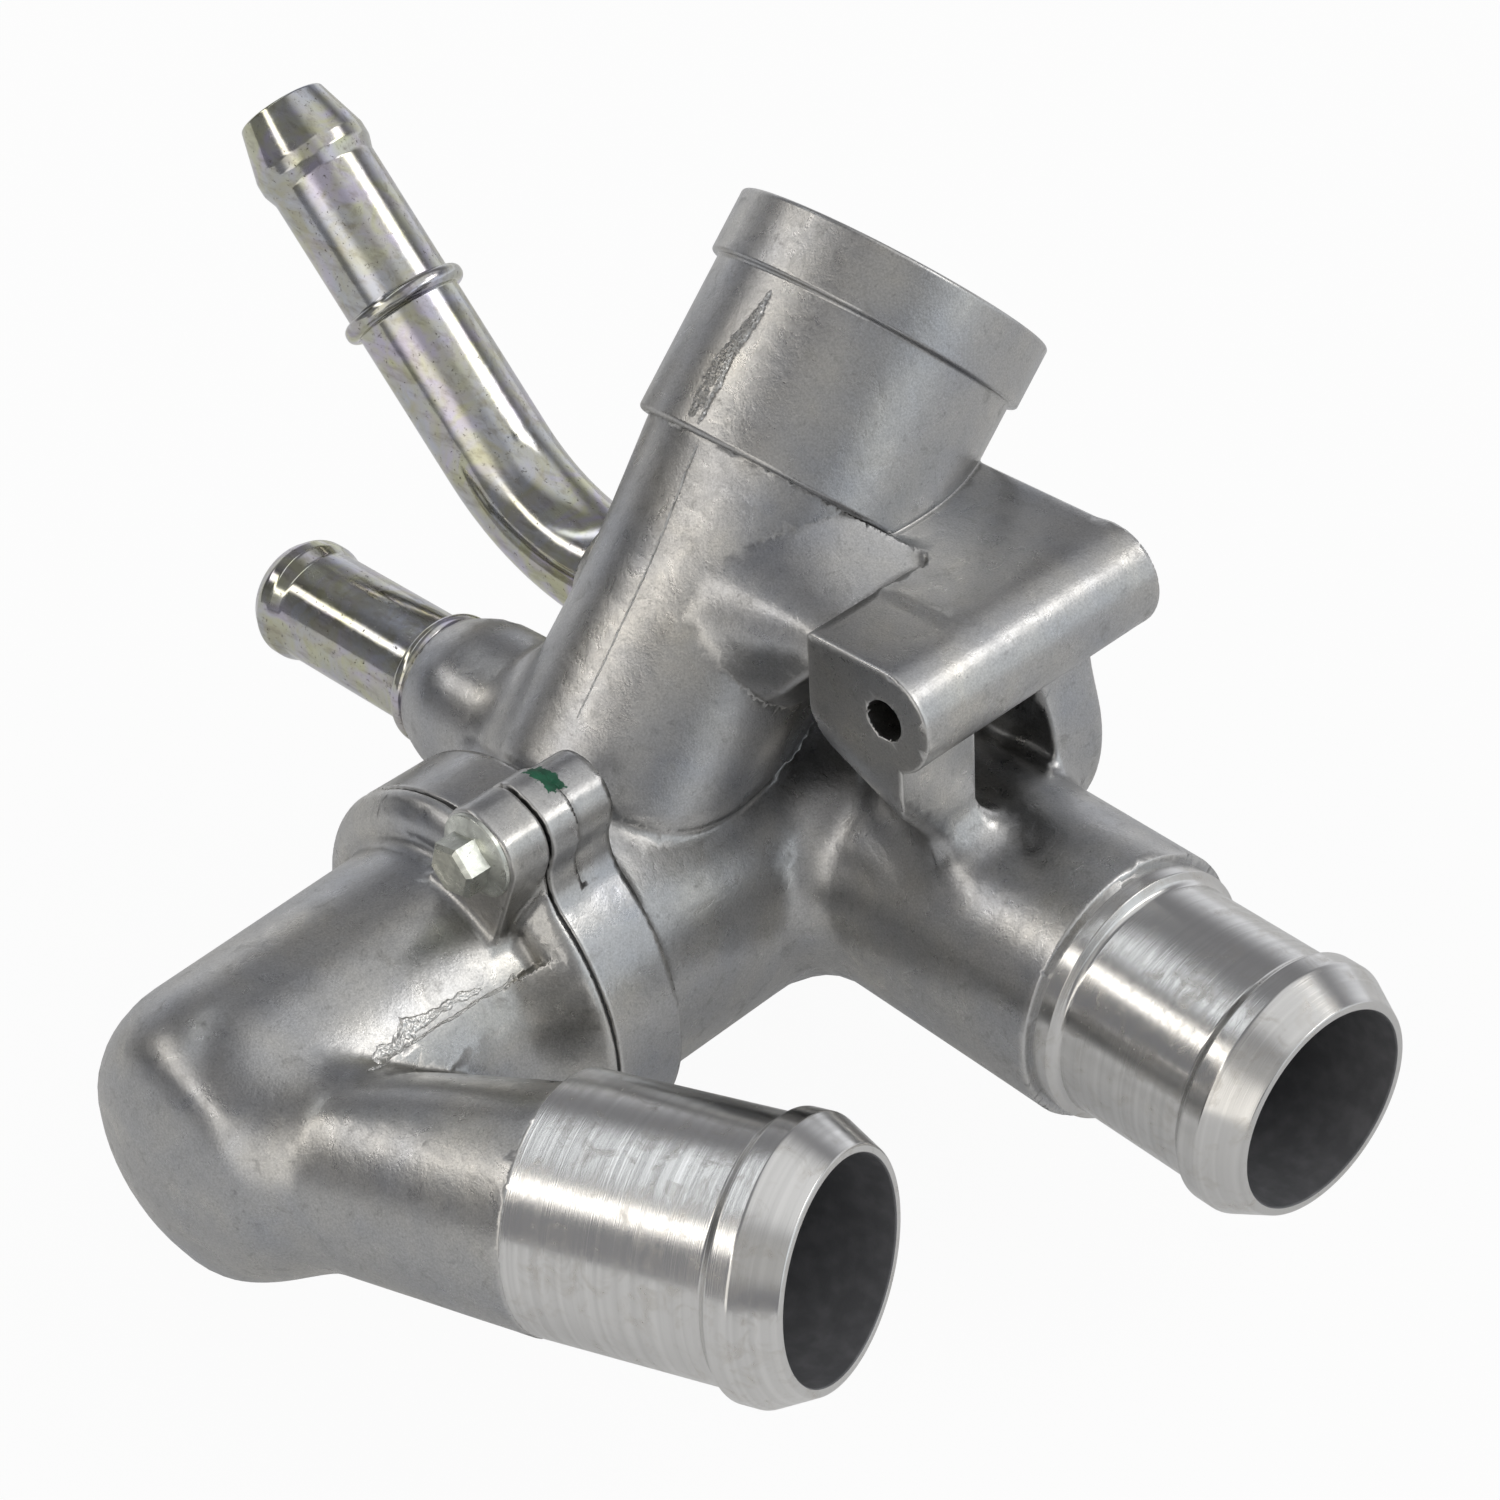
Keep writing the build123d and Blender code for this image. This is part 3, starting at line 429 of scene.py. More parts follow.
def polygon(u, v, points):
    """Field of a closed outline in a plane."""
    squared = np.full(u.shape, 1e9, u.dtype)
    inside = np.zeros(u.shape, bool)
    for (ax, ay), (bx, by) in zip(points, points[1:] + points[:1]):
        ex, ey = bx - ax, by - ay
        wx, wy = u - ax, v - ay
        share = np.clip((wx * ex + wy * ey) / (ex * ex + ey * ey), 0, 1)
        squared = np.minimum(squared, (wx - ex * share) ** 2 + (wy - ey * share) ** 2)
        if ay != by:
            inside ^= ((ay > v) != (by > v)) & (u < ex * (v - ay) / ey + ax)
    return np.where(inside, -1, 1) * np.sqrt(squared)


def capsule(u, v, a, b):
    """Field of the outline round two circles, each given as (x, y, radius)."""
    length = np.hypot(b[0] - a[0], b[1] - a[1])
    cx, cy = (b[0] - a[0]) / length, (b[1] - a[1]) / length
    along = (u - a[0]) * cx + (v - a[1]) * cy
    away = np.abs((v - a[1]) * cx - (u - a[0]) * cy)
    # A slope of 1 means that one circle lies inside the other
    slope = np.clip((a[2] - b[2]) / length, -1, 1)
    steep = np.sqrt(1 - slope * slope)
    k = steep * along - slope * away
    side = slope * along + steep * away - a[2]
    near = np.hypot(along, away) - a[2]
    far = np.hypot(along - length, away) - b[2]
    return np.where(k < 0, near, np.where(k > steep * length, far, side))


def hull(u, v, circles):
    """Field of the outline round several circles, given in order."""
    field = polygon(u, v, [(x, y) for x, y, _ in circles])
    for a, b in zip(circles, circles[1:] + circles[:1]):
        field = np.minimum(field, capsule(u, v, a, b))
    return field


def ear_places(p):
    """Places along the line of the two ears and across it, counted from the valve axis."""
    c, s = math.cos(EAR_ANGLE), math.sin(EAR_ANGLE)
    return np.abs(p[:, 0] * c + p[:, 2] * s), np.abs(p[:, 2] * c - p[:, 0] * s)


def ear(p, radius):
    """Outline of the two bolt ears, each with a flat end."""
    u, v = ear_places(p)
    lobe = np.minimum(np.hypot(u - EAR_REACH, v) - radius, np.maximum(v - radius, u - EAR_REACH))
    return common(lobe, u - EAR_FLAT, EAR_FLAT_EDGE)


def eared(p, radius):
    """Outline of the round joint flange with its two bolt ears."""
    return unite(np.hypot(p[:, 0], p[:, 2]) - FLANGE_RADIUS, ear(p, radius), EAR_ROOT)


def ear_holes(p, radius):
    """Outline of the hole in each ear."""
    u, v = ear_places(p)
    return np.hypot(u - EAR_REACH, v) - radius


def neck_field(p):
    """Tilted neck: plain pipe, and the core of its wider band."""
    r, s = polar(p, NECK_ORIGIN, NECK_AXIS)
    pipe = np.maximum(r - follow(s, NECK_PIPE), between(s, PIPE_START, NECK_PIPE_END))
    pipe = common(pipe, NECK_FOOT - np.hypot(p[:, 0], p[:, 2]), NECK_FOOT_EDGE)
    # The band and rim are a turned piece of their own, just outside this core
    core = between(s, NECK_BAND + 2 * CORE_INSET, NECK_RIM)
    core = common(r - BAND_RADIUS + CORE_INSET, core, BAND_FILLET)
    return unite(pipe, core, BAND_FILLET)


def gusset_field(p):
    """Web on the neck's right side, which rises to the plate's left edge."""
    x, y, z = (p - np.array(NECK_ORIGIN, p.dtype)).T
    s, above = (y + z) * NECK_SLANT, (z - y) * NECK_SLANT
    # Its crest follows the plate's edge, then falls along the block's side into the pipe
    up, down = s - GUSSET_RISES, GUSSET_FALLS - s
    rise = (up + down - np.sqrt((up - down) ** 2 + GUSSET_SOFTNESS)) / 2 - GUSSET_CREST
    web = capsule(x, above, (0, 0, GUSSET_ROOT), (follow(s, GUSSET_REACH), rise, GUSSET_CREST))
    return np.maximum(web, between(s, *GUSSET))


def upper_field(p):
    """Through-bolt boss with its block, top plate and rib."""
    x, y, z = p.T
    depth = between(y, BOSS_FRONT, 0)
    boss = common(np.hypot(x - BOLT_BOSS[0], z - BOLT_BOSS[1]) - BOSS_RADIUS, depth, BLOCK_EDGE)
    outline = np.maximum(polygon(x, z, BLOCK_OUTLINE), common(BLOCK_LEFT - x, z - PLATE[1], PLATE_EDGE))
    block = common(outline, between(y, BOSS_FRONT, BLOCK_BACK), BLOCK_EDGE)
    block = cut(block, plane(p, UNDERSIDE, UNDERSIDE_WAY), UNDERSIDE_EDGE)
    plate = common(polygon(x, y, PLATE_OUTLINE), between(z, *PLATE), PLATE_EDGE)
    dimple = np.linalg.norm(p - np.array(DIMPLE, p.dtype), axis=1) - DIMPLE_RADIUS
    plate = cut(plate, dimple, DIMPLE_EDGE)
    rib = capsule(x, z, (*BOLT_BOSS, RIB_RADIUS), (*RIB_END, RIB_RADIUS))
    rib = common(rib, between(y, *ENGINE_FLANGE), CAST_EDGE)
    return unite(unite(np.minimum(boss, block), rib, RIB_FILLET), plate, PLATE_FILLET)


def housing_outside(p):
    """Housing casting without its bores."""
    x, y, z = p.T
    t = y - JOINT
    body = barrel(p, VALVE_ORIGIN, VALVE_AXIS, BODY, GAP, BODY_END)
    side = bar(p, SIDE_ORIGIN, SIDE_AXIS, SIDE_RADIUS, PIPE_START, SIDE_TURNED, MACHINED_EDGE)
    field = unite(unite(body, side, SIDE_FILLET), neck_field(p), NECK_FILLET)
    flange = common(eared(p, EAR_RADIUS), between(t, *HOUSING_FLANGE), MACHINED_EDGE)
    lobes = common(eared(p, EAR_RADIUS - EAR_INSET), between(t, *HOUSING_EAR), EAR_EDGE)
    field = unite(field, np.minimum(flange, lobes), FLANGE_FILLET)
    engine = common(hull(x, z, ENGINE_LOBES), between(y, *ENGINE_FLANGE), CAST_EDGE)
    field = np.minimum(unite(field, engine, ENGINE_FILLET), gusset_field(p))
    field = unite(field, upper_field(p), follow(z, UPPER_FILLET))
    for origin in (SHORT_BOSS, LONG_BOSS):
        boss = barrel(p, origin, (1, 0, 0), TUBE_BOSS, 0, BOSS_DEPTH, BOSS_EDGE)
        field = unite(field, boss, BOSS_FILLET)
    return field


def housing_field(p):
    """Housing casting, inside and outside."""
    x, y, z = p.T
    field = housing_outside(p)
    # Valve chamber, recess and neck bore
    field = cut(field, inner(p, CHAMBER_RADIUS, BORE_START, CHAMBER_END, CHAMBER_EDGE))
    field = cut(field, inner(p, RECESS_RADIUS, BORE_START, RECESS_END))
    field = cut(field, bar(p, NECK_ORIGIN, NECK_AXIS, NECK_BORE, PIPE_START, NECK_BORE_END))
    field = cut(field, bar(p, NECK_ORIGIN, NECK_AXIS, SOCKET_RADIUS, SOCKET_START, SOCKET_END), SOCKET_EDGE)
    # Gallery behind the chamber with its wall, inlet and port, and the side spigot's bore
    field = unite(field, inner(p, GALLERY_WALL, CHAMBER_END, FACE))
    field = cut(field, inner(p, GALLERY_RADIUS, *GALLERY))
    field = cut(field, inner(p, INLET_RADIUS, *INLET), INLET_EDGE)
    field = cut(field, inner(p, PORT_RADIUS, *PORT))
    field = cut(field, bar(p, SIDE_ORIGIN, SIDE_AXIS, SPIGOT_BORE, 0, SPIGOT_BORE_END))
    # Tube seats, the seal's groove and the holes
    for origin in (SHORT_BOSS, LONG_BOSS):
        field = cut(field, bar(p, origin, (1, 0, 0), TUBE_SEAT_RADIUS, BORE_START, TUBE_SEAT_DEPTH))
    groove = np.abs(np.hypot(x, z) - GROOVE_RADIUS) - GROOVE_HALF
    field = cut(field, np.maximum(groove, -GROOVE_DEPTH - y), GROOVE_EDGE)
    for hole_x, hole_z in (BOLT_BOSS, *MOUNT_HOLES):
        field = cut(field, np.hypot(x - hole_x, z - hole_z) - HOLE_RADIUS, HOLE_EDGE)
    return cut(field, np.maximum(ear_holes(p, SCREW_RADIUS), y - JOINT - SCREW_DEPTH))


def band_field(p):
    """Neck's band, as an endless cylinder."""
    return polar(p, NECK_ORIGIN, NECK_AXIS)[0] - BAND_RADIUS


def neck_top(place, drift):
    """Point near the top of the neck, from its place along the axis and its drift aside."""
    y, z = (place - NECK_GUIDE) * NECK_SLANT, (place + NECK_GUIDE) * NECK_SLANT
    return drift, NECK_ORIGIN[1] + y, z


def parting(p):
    """Height above the cover's parting plane, and how far out in it, of each point."""
    c, s = math.cos(PARTING), math.sin(PARTING)
    return p[:, 2] * c - p[:, 0] * s, p[:, 0] * c + p[:, 2] * s


def web_field(p):
    """Flat web below the parting line, between the cap, the spigot and the flange."""
    above, out = parting(p)
    slab = common(out - WEB_OUT[1], -above - follow(p[:, 1], WEB_DEPTH), WEB_EDGE)
    slab = common(slab, between(p[:, 1], *WEB), WEB_EDGE)
    return np.maximum(np.maximum(slab, above + WEB_BELOW), WEB_OUT[0] - out)


def cover_field(p):
    """Cover casting, inside and outside."""
    t = -(p[:, 1] - JOINT) - GAP
    r = np.hypot(p[:, 0], p[:, 2])
    dome = np.hypot(r, t - (CAP_END - DOME_RADIUS)) - DOME_RADIUS
    cap = np.maximum(common(r - follow(t, CAP_SIDE), dome, CAP_EDGE), -t)
    spigot = barrel(p, COVER_ORIGIN, COVER_AXIS, COVER_SPIGOT, SPIGOT_START, COVER_TURNED, MACHINED_EDGE)
    # The spigot's upper back is drafted flatter than its front
    spigot = common(spigot, plane(p, SPIGOT_TOP, SPIGOT_TOP_WAY), SPIGOT_TOP_EDGE)
    field = unite(cap, spigot, follow(p[:, 1], SPIGOT_FILLET))
    field = unite(field, web_field(p), WEB_FILLET)
    # Joint flange, bevelled outside, and its thicker ears
    bevel = (r - FLANGE_RADIUS) * BEVEL_DEPTH + (t - BEVEL_START) * BEVEL_WIDTH
    flange = common(eared(p, EAR_RADIUS), between(t, *COVER_FLANGE), MACHINED_EDGE)
    flange = common(flange, bevel / math.hypot(BEVEL_DEPTH, BEVEL_WIDTH), CAST_EDGE)
    depth = np.maximum(between(t, *COVER_EAR), EAR_START - ear_places(p)[0])
    lobes = common(ear(p, EAR_RADIUS), depth, EAR_EDGE)
    # Below the parting plane a long fillet runs from the cap out to the flange
    field = unite(unite(field, flange, follow(parting(p)[0], PARTING_FILLET)), lobes, EAR_FILLET)
    # Hollow of the cap, recess of the valve's flange, spigot's bore and holes
    field = cut(field, common(r - follow(t, CAP_INSIDE), dome + CAP_WALL, HOLLOW_EDGE))
    field = cut(field, np.maximum(r - CAP_RECESS[0], t - CAP_RECESS[1]))
    field = cut(field, barrel(p, COVER_ORIGIN, COVER_AXIS, COVER_BORE, 0, SPIGOT_BORE_END))
    return cut(field, ear_holes(p, HOLE_RADIUS))


def grid_places(counts):
    """Every whole-number place in a grid with those counts."""
    return np.stack(np.meshgrid(*[np.arange(n) for n in counts], indexing="ij"), -1).reshape(-1, 3)


def sampled(field, low, shape):
    """Grid of the field's values, worked out point by point only near its surface."""
    counts = [math.ceil(n / TILE) for n in shape]
    far = 2 * TILE * VOXEL
    values = np.full([n * TILE for n in counts], far, np.float32)
    tiles = grid_places(counts)
    middles = (low + (tiles * TILE + (TILE - 1) / 2) * VOXEL).astype(np.float32)
    parts = np.array_split(middles, max(1, len(middles) // PLACES_AT_ONCE))
    distance = np.concatenate([field(part) for part in parts])
    # A tile's corners lie within this reach, with some room for fields that aren't exact distances
    reach = TILE * VOXEL * math.sqrt(3) / 2 * 1.3 + VOXEL
    view = values.reshape(counts[0], TILE, counts[1], TILE, counts[2], TILE)
    within = tiles[distance < -reach]
    view[within[:, 0], :, within[:, 1], :, within[:, 2], :] = -far
    steps = grid_places([TILE] * 3)
    near = tiles[np.abs(distance) <= reach]
    for part in np.array_split(near, max(1, len(near) // TILES_AT_ONCE)):
        points = (low + (part[:, None] * TILE + steps) * VOXEL).astype(np.float32)
        found = field(points.reshape(-1, 3)).reshape(len(part), TILE, TILE, TILE)
        view[part[:, 0], :, part[:, 1], :, part[:, 2], :] = found
    return values


def beside(field, points, step):
    """The field's values a step ahead of each point and a step back, along each axis."""
    return [(field(points + shift), field(points - shift)) for shift in np.eye(3) * step]


def gradient(field, points):
    """Outward direction of the field's surface at each point."""
    out = np.stack([ahead - back for ahead, back in beside(field, points, SLOPE_STEP)], 1)
    return out / np.maximum(np.linalg.norm(out, axis=1), 1e-9)[:, None]


def on_surface(field, points, rounds, most):
    """Points moved on to the field's surface, by at most that much a round, and its direction there."""
    for _ in range(rounds):
        points = points - np.clip(field(points), -most, most)[:, None] * gradient(field, points)
    return points, gradient(field, points)


def edge_wear_and_corner_shade(field, points):
    """How sharply the surface turns at each point: above 0 on edges, drawn as wear, below 0 in corners,
    drawn as painted shade.
    """
    total = sum(ahead + back for ahead, back in beside(field, points, WEAR_AND_SHADE_STEP))
    return np.clip((total - 6 * field(points)) / WEAR_AND_SHADE_STEP, -1, 1)


def facing(mesh, normals):
    """Above 0 where about 500 of the mesh's faces look along the directions given for its points."""
    count = len(mesh.polygons)
    some = [mesh.polygons[k] for k in range(0, count, max(1, count // 500))]
    return sum(face.normal.dot(Vector(normals[face.vertices[0]])) for face in some)


def linked(name, points, faces, normals, exact=True):
    """Smooth object from points in millimetres, with exact normals or facing their way."""
    mesh = bpy.data.meshes.new(name)
    mesh.from_pydata((points * MM).tolist(), [], faces)
    if facing(mesh, normals) < 0:
        mesh.flip_normals()
    mesh.shade_smooth()
    if exact:
        mesh.normals_split_custom_set_from_vertices(normals.tolist())
    piece = bpy.data.objects.new(name, mesh)
    bpy.context.scene.collection.objects.link(piece)
    return piece


def note(piece, name, values):
    """Keep a number for each point of a piece, for its material."""
    attribute = piece.data.attributes.new(name, "FLOAT", "POINT")
    attribute.data.foreach_set("value", np.asarray(values, np.float32))


def skin(name, field, low, high):
    """Mesh of a field's surface, with its points moved on to the surface and smooth normals."""
    low = np.array(low, float)
    shape = np.ceil((np.array(high, float) - low) / VOXEL).astype(int) + 1
    grid = openvdb.FloatGrid(2 * TILE * VOXEL)
    grid.copyFromArray(np.ascontiguousarray(sampled(field, low, shape)))
    points, triangles, quads = grid.convertToPolygons(isovalue=0.0, adaptivity=ADAPTIVITY)
    points, normals = on_surface(field, low + points.astype(float) * VOXEL, 2, 0.6 * VOXEL)
    piece = linked(name, points, triangles.tolist() + quads.tolist(), normals)
    # How sharply the surface turns, which the cast finish draws as worn edges and as painted shade in
    # corners
    note(piece, "edge_wear_and_corner_shade", edge_wear_and_corner_shade(field, points))
    return piece


def rounded(corners):
    """Closed outline of (place, radius, rounding) corners, as points and their outward directions."""
    corners = [np.array(c, float) for c in corners]
    points, outward = [], []
    for before, corner, after in zip(corners[-1:] + corners[:-1], corners, corners[1:] + corners[:1]):
        come, leave = corner[:2] - before[:2], after[:2] - corner[:2]
        come, leave = come / np.linalg.norm(come), leave / np.linalg.norm(leave)
        turn = math.atan2(come[0] * leave[1] - come[1] * leave[0], come @ leave)
        side = -math.copysign(1, turn)
        start = corner[:2] - come * corner[2] * math.tan(abs(turn) / 2)
        centre = start - side * corner[2] * np.array((-come[1], come[0]))
        steps = max(3, math.ceil(abs(turn) / math.radians(9)))
        for k in range(steps + 1):
            c, s = math.cos(turn * k / steps), math.sin(turn * k / steps)
            ahead = np.array((come[0] * c - come[1] * s, come[0] * s + come[1] * c))
            points.append(centre + side * corner[2] * np.array((-ahead[1], ahead[0])))
            outward.append((-ahead[1], ahead[0]))
    return np.array(points), np.array(outward)


def refined(points, outward, longest, start, end):
    """The same outline with more points where it lies between two places."""
    more, ways = [], []
    for k in range(len(points)):
        a, b = points[k], points[(k + 1) % len(points)]
        inside = min(max(a[0], b[0]), end) > max(min(a[0], b[0]), start)
        count = max(1, math.ceil(abs(b[0] - a[0]) / longest)) if inside else 1
        for j in range(count):
            more.append(a + (b - a) * j / count)
            ways.append(outward[k])
    return np.array(more), np.array(ways)


def straight(origin, along):
    """Frame of a straight axis: point, direction and two directions across it at any place."""
    along = np.array(along, float) / np.linalg.norm(along)
    across = np.cross(along, (0, 1, 0))
    across /= np.linalg.norm(across)
    return lambda place: (np.array(origin) + along * place, along, across, np.cross(along, across))


def bent(place):
    """Frame of the long tube's axis: level, then round the bend, then straight up to its mouth."""
    _, y, z = LONG_CORNER
    into = max(place - BEND_AT, 0)
    turn = min(into / BEND_RADIUS, LONG_RISE)
    along = np.array((-math.cos(turn), 0, math.sin(turn)))
    level = np.array((LONG_BOSS[0] - min(place, BEND_AT), y, z))
    bend = BEND_RADIUS * np.array((-math.sin(turn), 0, 1 - math.cos(turn)))
    beyond = along * max(into - BEND_RADIUS * LONG_RISE, 0)
    return level + bend + beyond, along, np.array((0.0, 1.0, 0.0)), np.cross(along, (0, 1, 0))


def turned(name, outline, axis, segments=192):
    """Closed round piece with the outline turned about the axis, with exact smooth normals."""
    points, outward = outline
    angles = np.linspace(0, 2 * math.pi, segments, endpoint=False)
    places, normals, along, inside = [], [], [], []
    for (place, radius), (lengthwise, outwards) in zip(points, outward):
        origin, ahead, right, up = axis(place)
        ring = np.cos(angles)[:, None] * right + np.sin(angles)[:, None] * up
        places.append(origin + radius * ring)
        normals.append(lengthwise * ahead + outwards * ring)
        along.append(np.full(segments, place * MM))
        inside.append(np.full(segments, outwards < -0.5))
    count = len(points)
    faces = []
    for k in range(count):
        n = (k + 1) % count
        for j in range(segments):
            m = (j + 1) % segments
            faces.append((k * segments + j, k * segments + m, n * segments + m, n * segments + j))
    piece = linked(name, np.concatenate(places), faces, np.concatenate(normals))
    note(piece, "along", np.concatenate(along))
    note(piece, "inside", np.concatenate(inside))
    return piece


def spigot_outline(start, mouth, land):
    """Outline of a turned spigot end: barrel, bead and nose outside, and the bore inside."""
    bead = mouth - BEAD_FROM_MOUTH
    first = LAND_RADIUS if land else SPIGOT_RADIUS
    outline = [(start - END_OVERLAP, TIP_RADIUS, 0.3), (start - END_OVERLAP, first, 0.2)]
    if land:
        outline += [
            (start + LAND_LENGTH - LAND_CHAMFER, LAND_RADIUS, 0.25),
            (start + LAND_LENGTH, SPIGOT_RADIUS, 1.2),
        ]
    return rounded(outline + [
        (bead, SPIGOT_RADIUS, 0.8),
        (bead + BEAD_RAMP, BEAD_RADIUS, 0.6),
        (mouth - NOSE_LENGTH, BEAD_RADIUS, 1.0),
        (mouth, TIP_RADIUS, 0.5),
        (mouth, SPIGOT_BORE, 0.4),
        (start, SPIGOT_BORE, 0.1),
    ])


def neck_outline():
    """Outline of the neck's turned end: its band and rim outside, and its socket inside."""
    return rounded([
        (NECK_BAND, SOCKET_RADIUS, 0.3),
        (NECK_BAND, BAND_RADIUS, 0.9),
        (NECK_RIM, BAND_RADIUS, 0.6),
        (NECK_RIM, RIM_RADIUS, 0.6),
        (NECK_LENGTH, RIM_RADIUS, 0.7),
        (NECK_LENGTH, SOCKET_LINER, 0.9),
        (SOCKET_START, SOCKET_LINER, 0.2),
        (SOCKET_START, NECK_END_BORE, 0.2),
        (NECK_BAND, NECK_END_BORE, 0.2),
    ])


def hose_outline(ring, length, nose, nose_radius):
    """Outline of a steel tube: stop ring, bulge and drawn-in nose outside, and the bore inside."""
    bulge = length - nose - BULGE_LENGTH
    return rounded([
        (-TUBE_INSERTED, TUBE_RADIUS, 0.3),
        (ring, TUBE_RADIUS, 0.3),
        (ring, RING_RADIUS, RING_EDGE),
        (ring + RING_LENGTH, RING_RADIUS, RING_EDGE),
        (ring + RING_LENGTH, TUBE_RADIUS, 0.3),
        (bulge, TUBE_RADIUS, 2.0),
        (bulge + BULGE_LENGTH / 2, BULGE_RADIUS, 2.0),
        (bulge + BULGE_LENGTH, BULGE_RADIUS, 2.0),
        (length, nose_radius, 0.6),
        (length, nose_radius - NOSE_WALL, 0.4),
        (length - nose, TUBE_BORE, 0.8),
        (-TUBE_INSERTED, TUBE_BORE, 0.3),
    ])


def rough_line(draws, count, step):
    """Smooth random line of a given length, whose bends lie about that many points apart."""
    knots = draws.standard_normal(count // step + 3)
    return np.interp(np.arange(count) / step, np.arange(len(knots)), knots)


def flash_relief(draws, count, across):
    """Random relief of a strip: a fine grain, and lumps a few points wide."""
    grain = draws.standard_normal((count, len(across)))
    lumps = draws.standard_normal((count // LUMP_STEP + 2, LUMPS_ACROSS))
    k = np.arange(count) / LUMP_STEP
    low, part = np.floor(k).astype(int), (k % 1)[:, None]
    broad = lumps[low] * (1 - part) + lumps[low + 1] * part
    broad = np.stack([np.interp(across, np.linspace(-1, 1, LUMPS_ACROSS), row) for row in broad])
    fine = (grain + np.roll(grain, 1, 0) + np.roll(grain, 1, 1) + np.roll(grain, -1, 1)) / 4
    return GRAIN_SHARE * fine + LUMP_SHARE * broad


def flash(name, field, guide, widths, heights, draws, shade):
    """Trimmed casting flash: a ragged strip that follows guide points along a surface."""
    guide = np.array(guide, float)
    run = np.concatenate([[0], np.cumsum(np.linalg.norm(np.diff(guide, axis=0), axis=1))])
    count = math.ceil(run[-1] / FLASH_STEP)
    at = np.linspace(0, run[-1], count)
    middle = np.stack([np.interp(at, run, guide[:, k]) for k in range(3)], 1)
    middle, way = on_surface(field, middle, *FLASH_MOVE)
    aside = np.cross(way, np.gradient(middle, axis=0))
    aside /= np.linalg.norm(aside, axis=1)[:, None]
    # Width and drift of the strip, each ragged in long and in short bends
    even = follow(at / run[-1], widths)
    wide = even * (1 + 0.25 * rough_line(draws, count, 9) + 0.15 * rough_line(draws, count, 3))
    drift = 0.25 * even * rough_line(draws, count, 14)
    across = np.linspace(-1, 1, FLASH_ACROSS)
    places = across[None, :, None] * wide[:, None, None] + drift[:, None, None]
    rows, ways = on_surface(field, (middle[:, None] + aside[:, None] * places).reshape(-1, 3), *FLASH_MOVE)
    # Height, which falls below the surface at the strip's edges and ends
    shape = 1 - np.abs(across) ** 4
    height = follow(at / run[-1], heights)[:, None] * shape * (1 + flash_relief(draws, count, across))
    height -= FLASH_TUCK * (1 - shape)
    ends = np.clip(np.minimum(np.arange(count), np.arange(count)[::-1]) / FLASH_FADE, 0, 1)[:, None]
    height = height * ends - FLASH_TUCK * (1 - ends)
    points = rows + ways * height.reshape(-1)[:, None]
    grid = np.arange(count * FLASH_ACROSS).reshape(count, FLASH_ACROSS)
    corners = [grid[:-1, :-1], grid[:-1, 1:], grid[1:, 1:], grid[1:, :-1]]
    faces = np.stack([corner.reshape(-1) for corner in corners], 1).tolist()
    piece = linked(name, points, faces, ways, exact=False)
    # Shade above 0 brightens the strip like a worn edge, and below 0 darkens it with painted shade
    note(piece, "edge_wear_and_corner_shade", np.full(len(points), shade))
    return piece


class Nodes:
    """Node tree of a material or a world, with short calls that add nodes to it."""

    def __init__(self, owner):
        owner.use_nodes = True
        self.tree = owner.node_tree

    def put(self, socket, value):
        """Give a socket a number, a colour or another node's output."""
        if isinstance(value, bpy.types.NodeSocket):
            self.tree.links.new(value, socket)
        else:
            socket.default_value = value

    def add(self, kind, inputs=(), **settings):
        """Add a node with its inputs, given as (name or number, value) pairs, and its settings."""
        made = self.tree.nodes.new(kind)
        for key, value in settings.items():
            setattr(made, key, value)
        for key, value in inputs:
            self.put(made.inputs[key], value)
        return made

    def span(self, value, low, high, to_low=0.0, to_high=1.0, kind="LINEAR"):
        """Move a value from one range to another, kept within it."""
        inputs = [(0, value), (1, low), (2, high), (3, to_low), (4, to_high)]
        return self.add("ShaderNodeMapRange", inputs, interpolation_type=kind).outputs[0]

    def sum(self, operation, *values):
        """Result of a sum on one or two numbers."""
        return self.add("ShaderNodeMath", list(enumerate(values)), operation=operation).outputs[0]

    def blend(self, share, low, high, kind="MIX"):
        """Blend of two colours."""
        low, high = [(*c, 1) if isinstance(c, tuple) else c for c in (low, high)]
        inputs = [(0, share), (6, low), (7, high)]
        return self.add("ShaderNodeMix", inputs, data_type="RGBA", blend_type=kind).outputs[2]


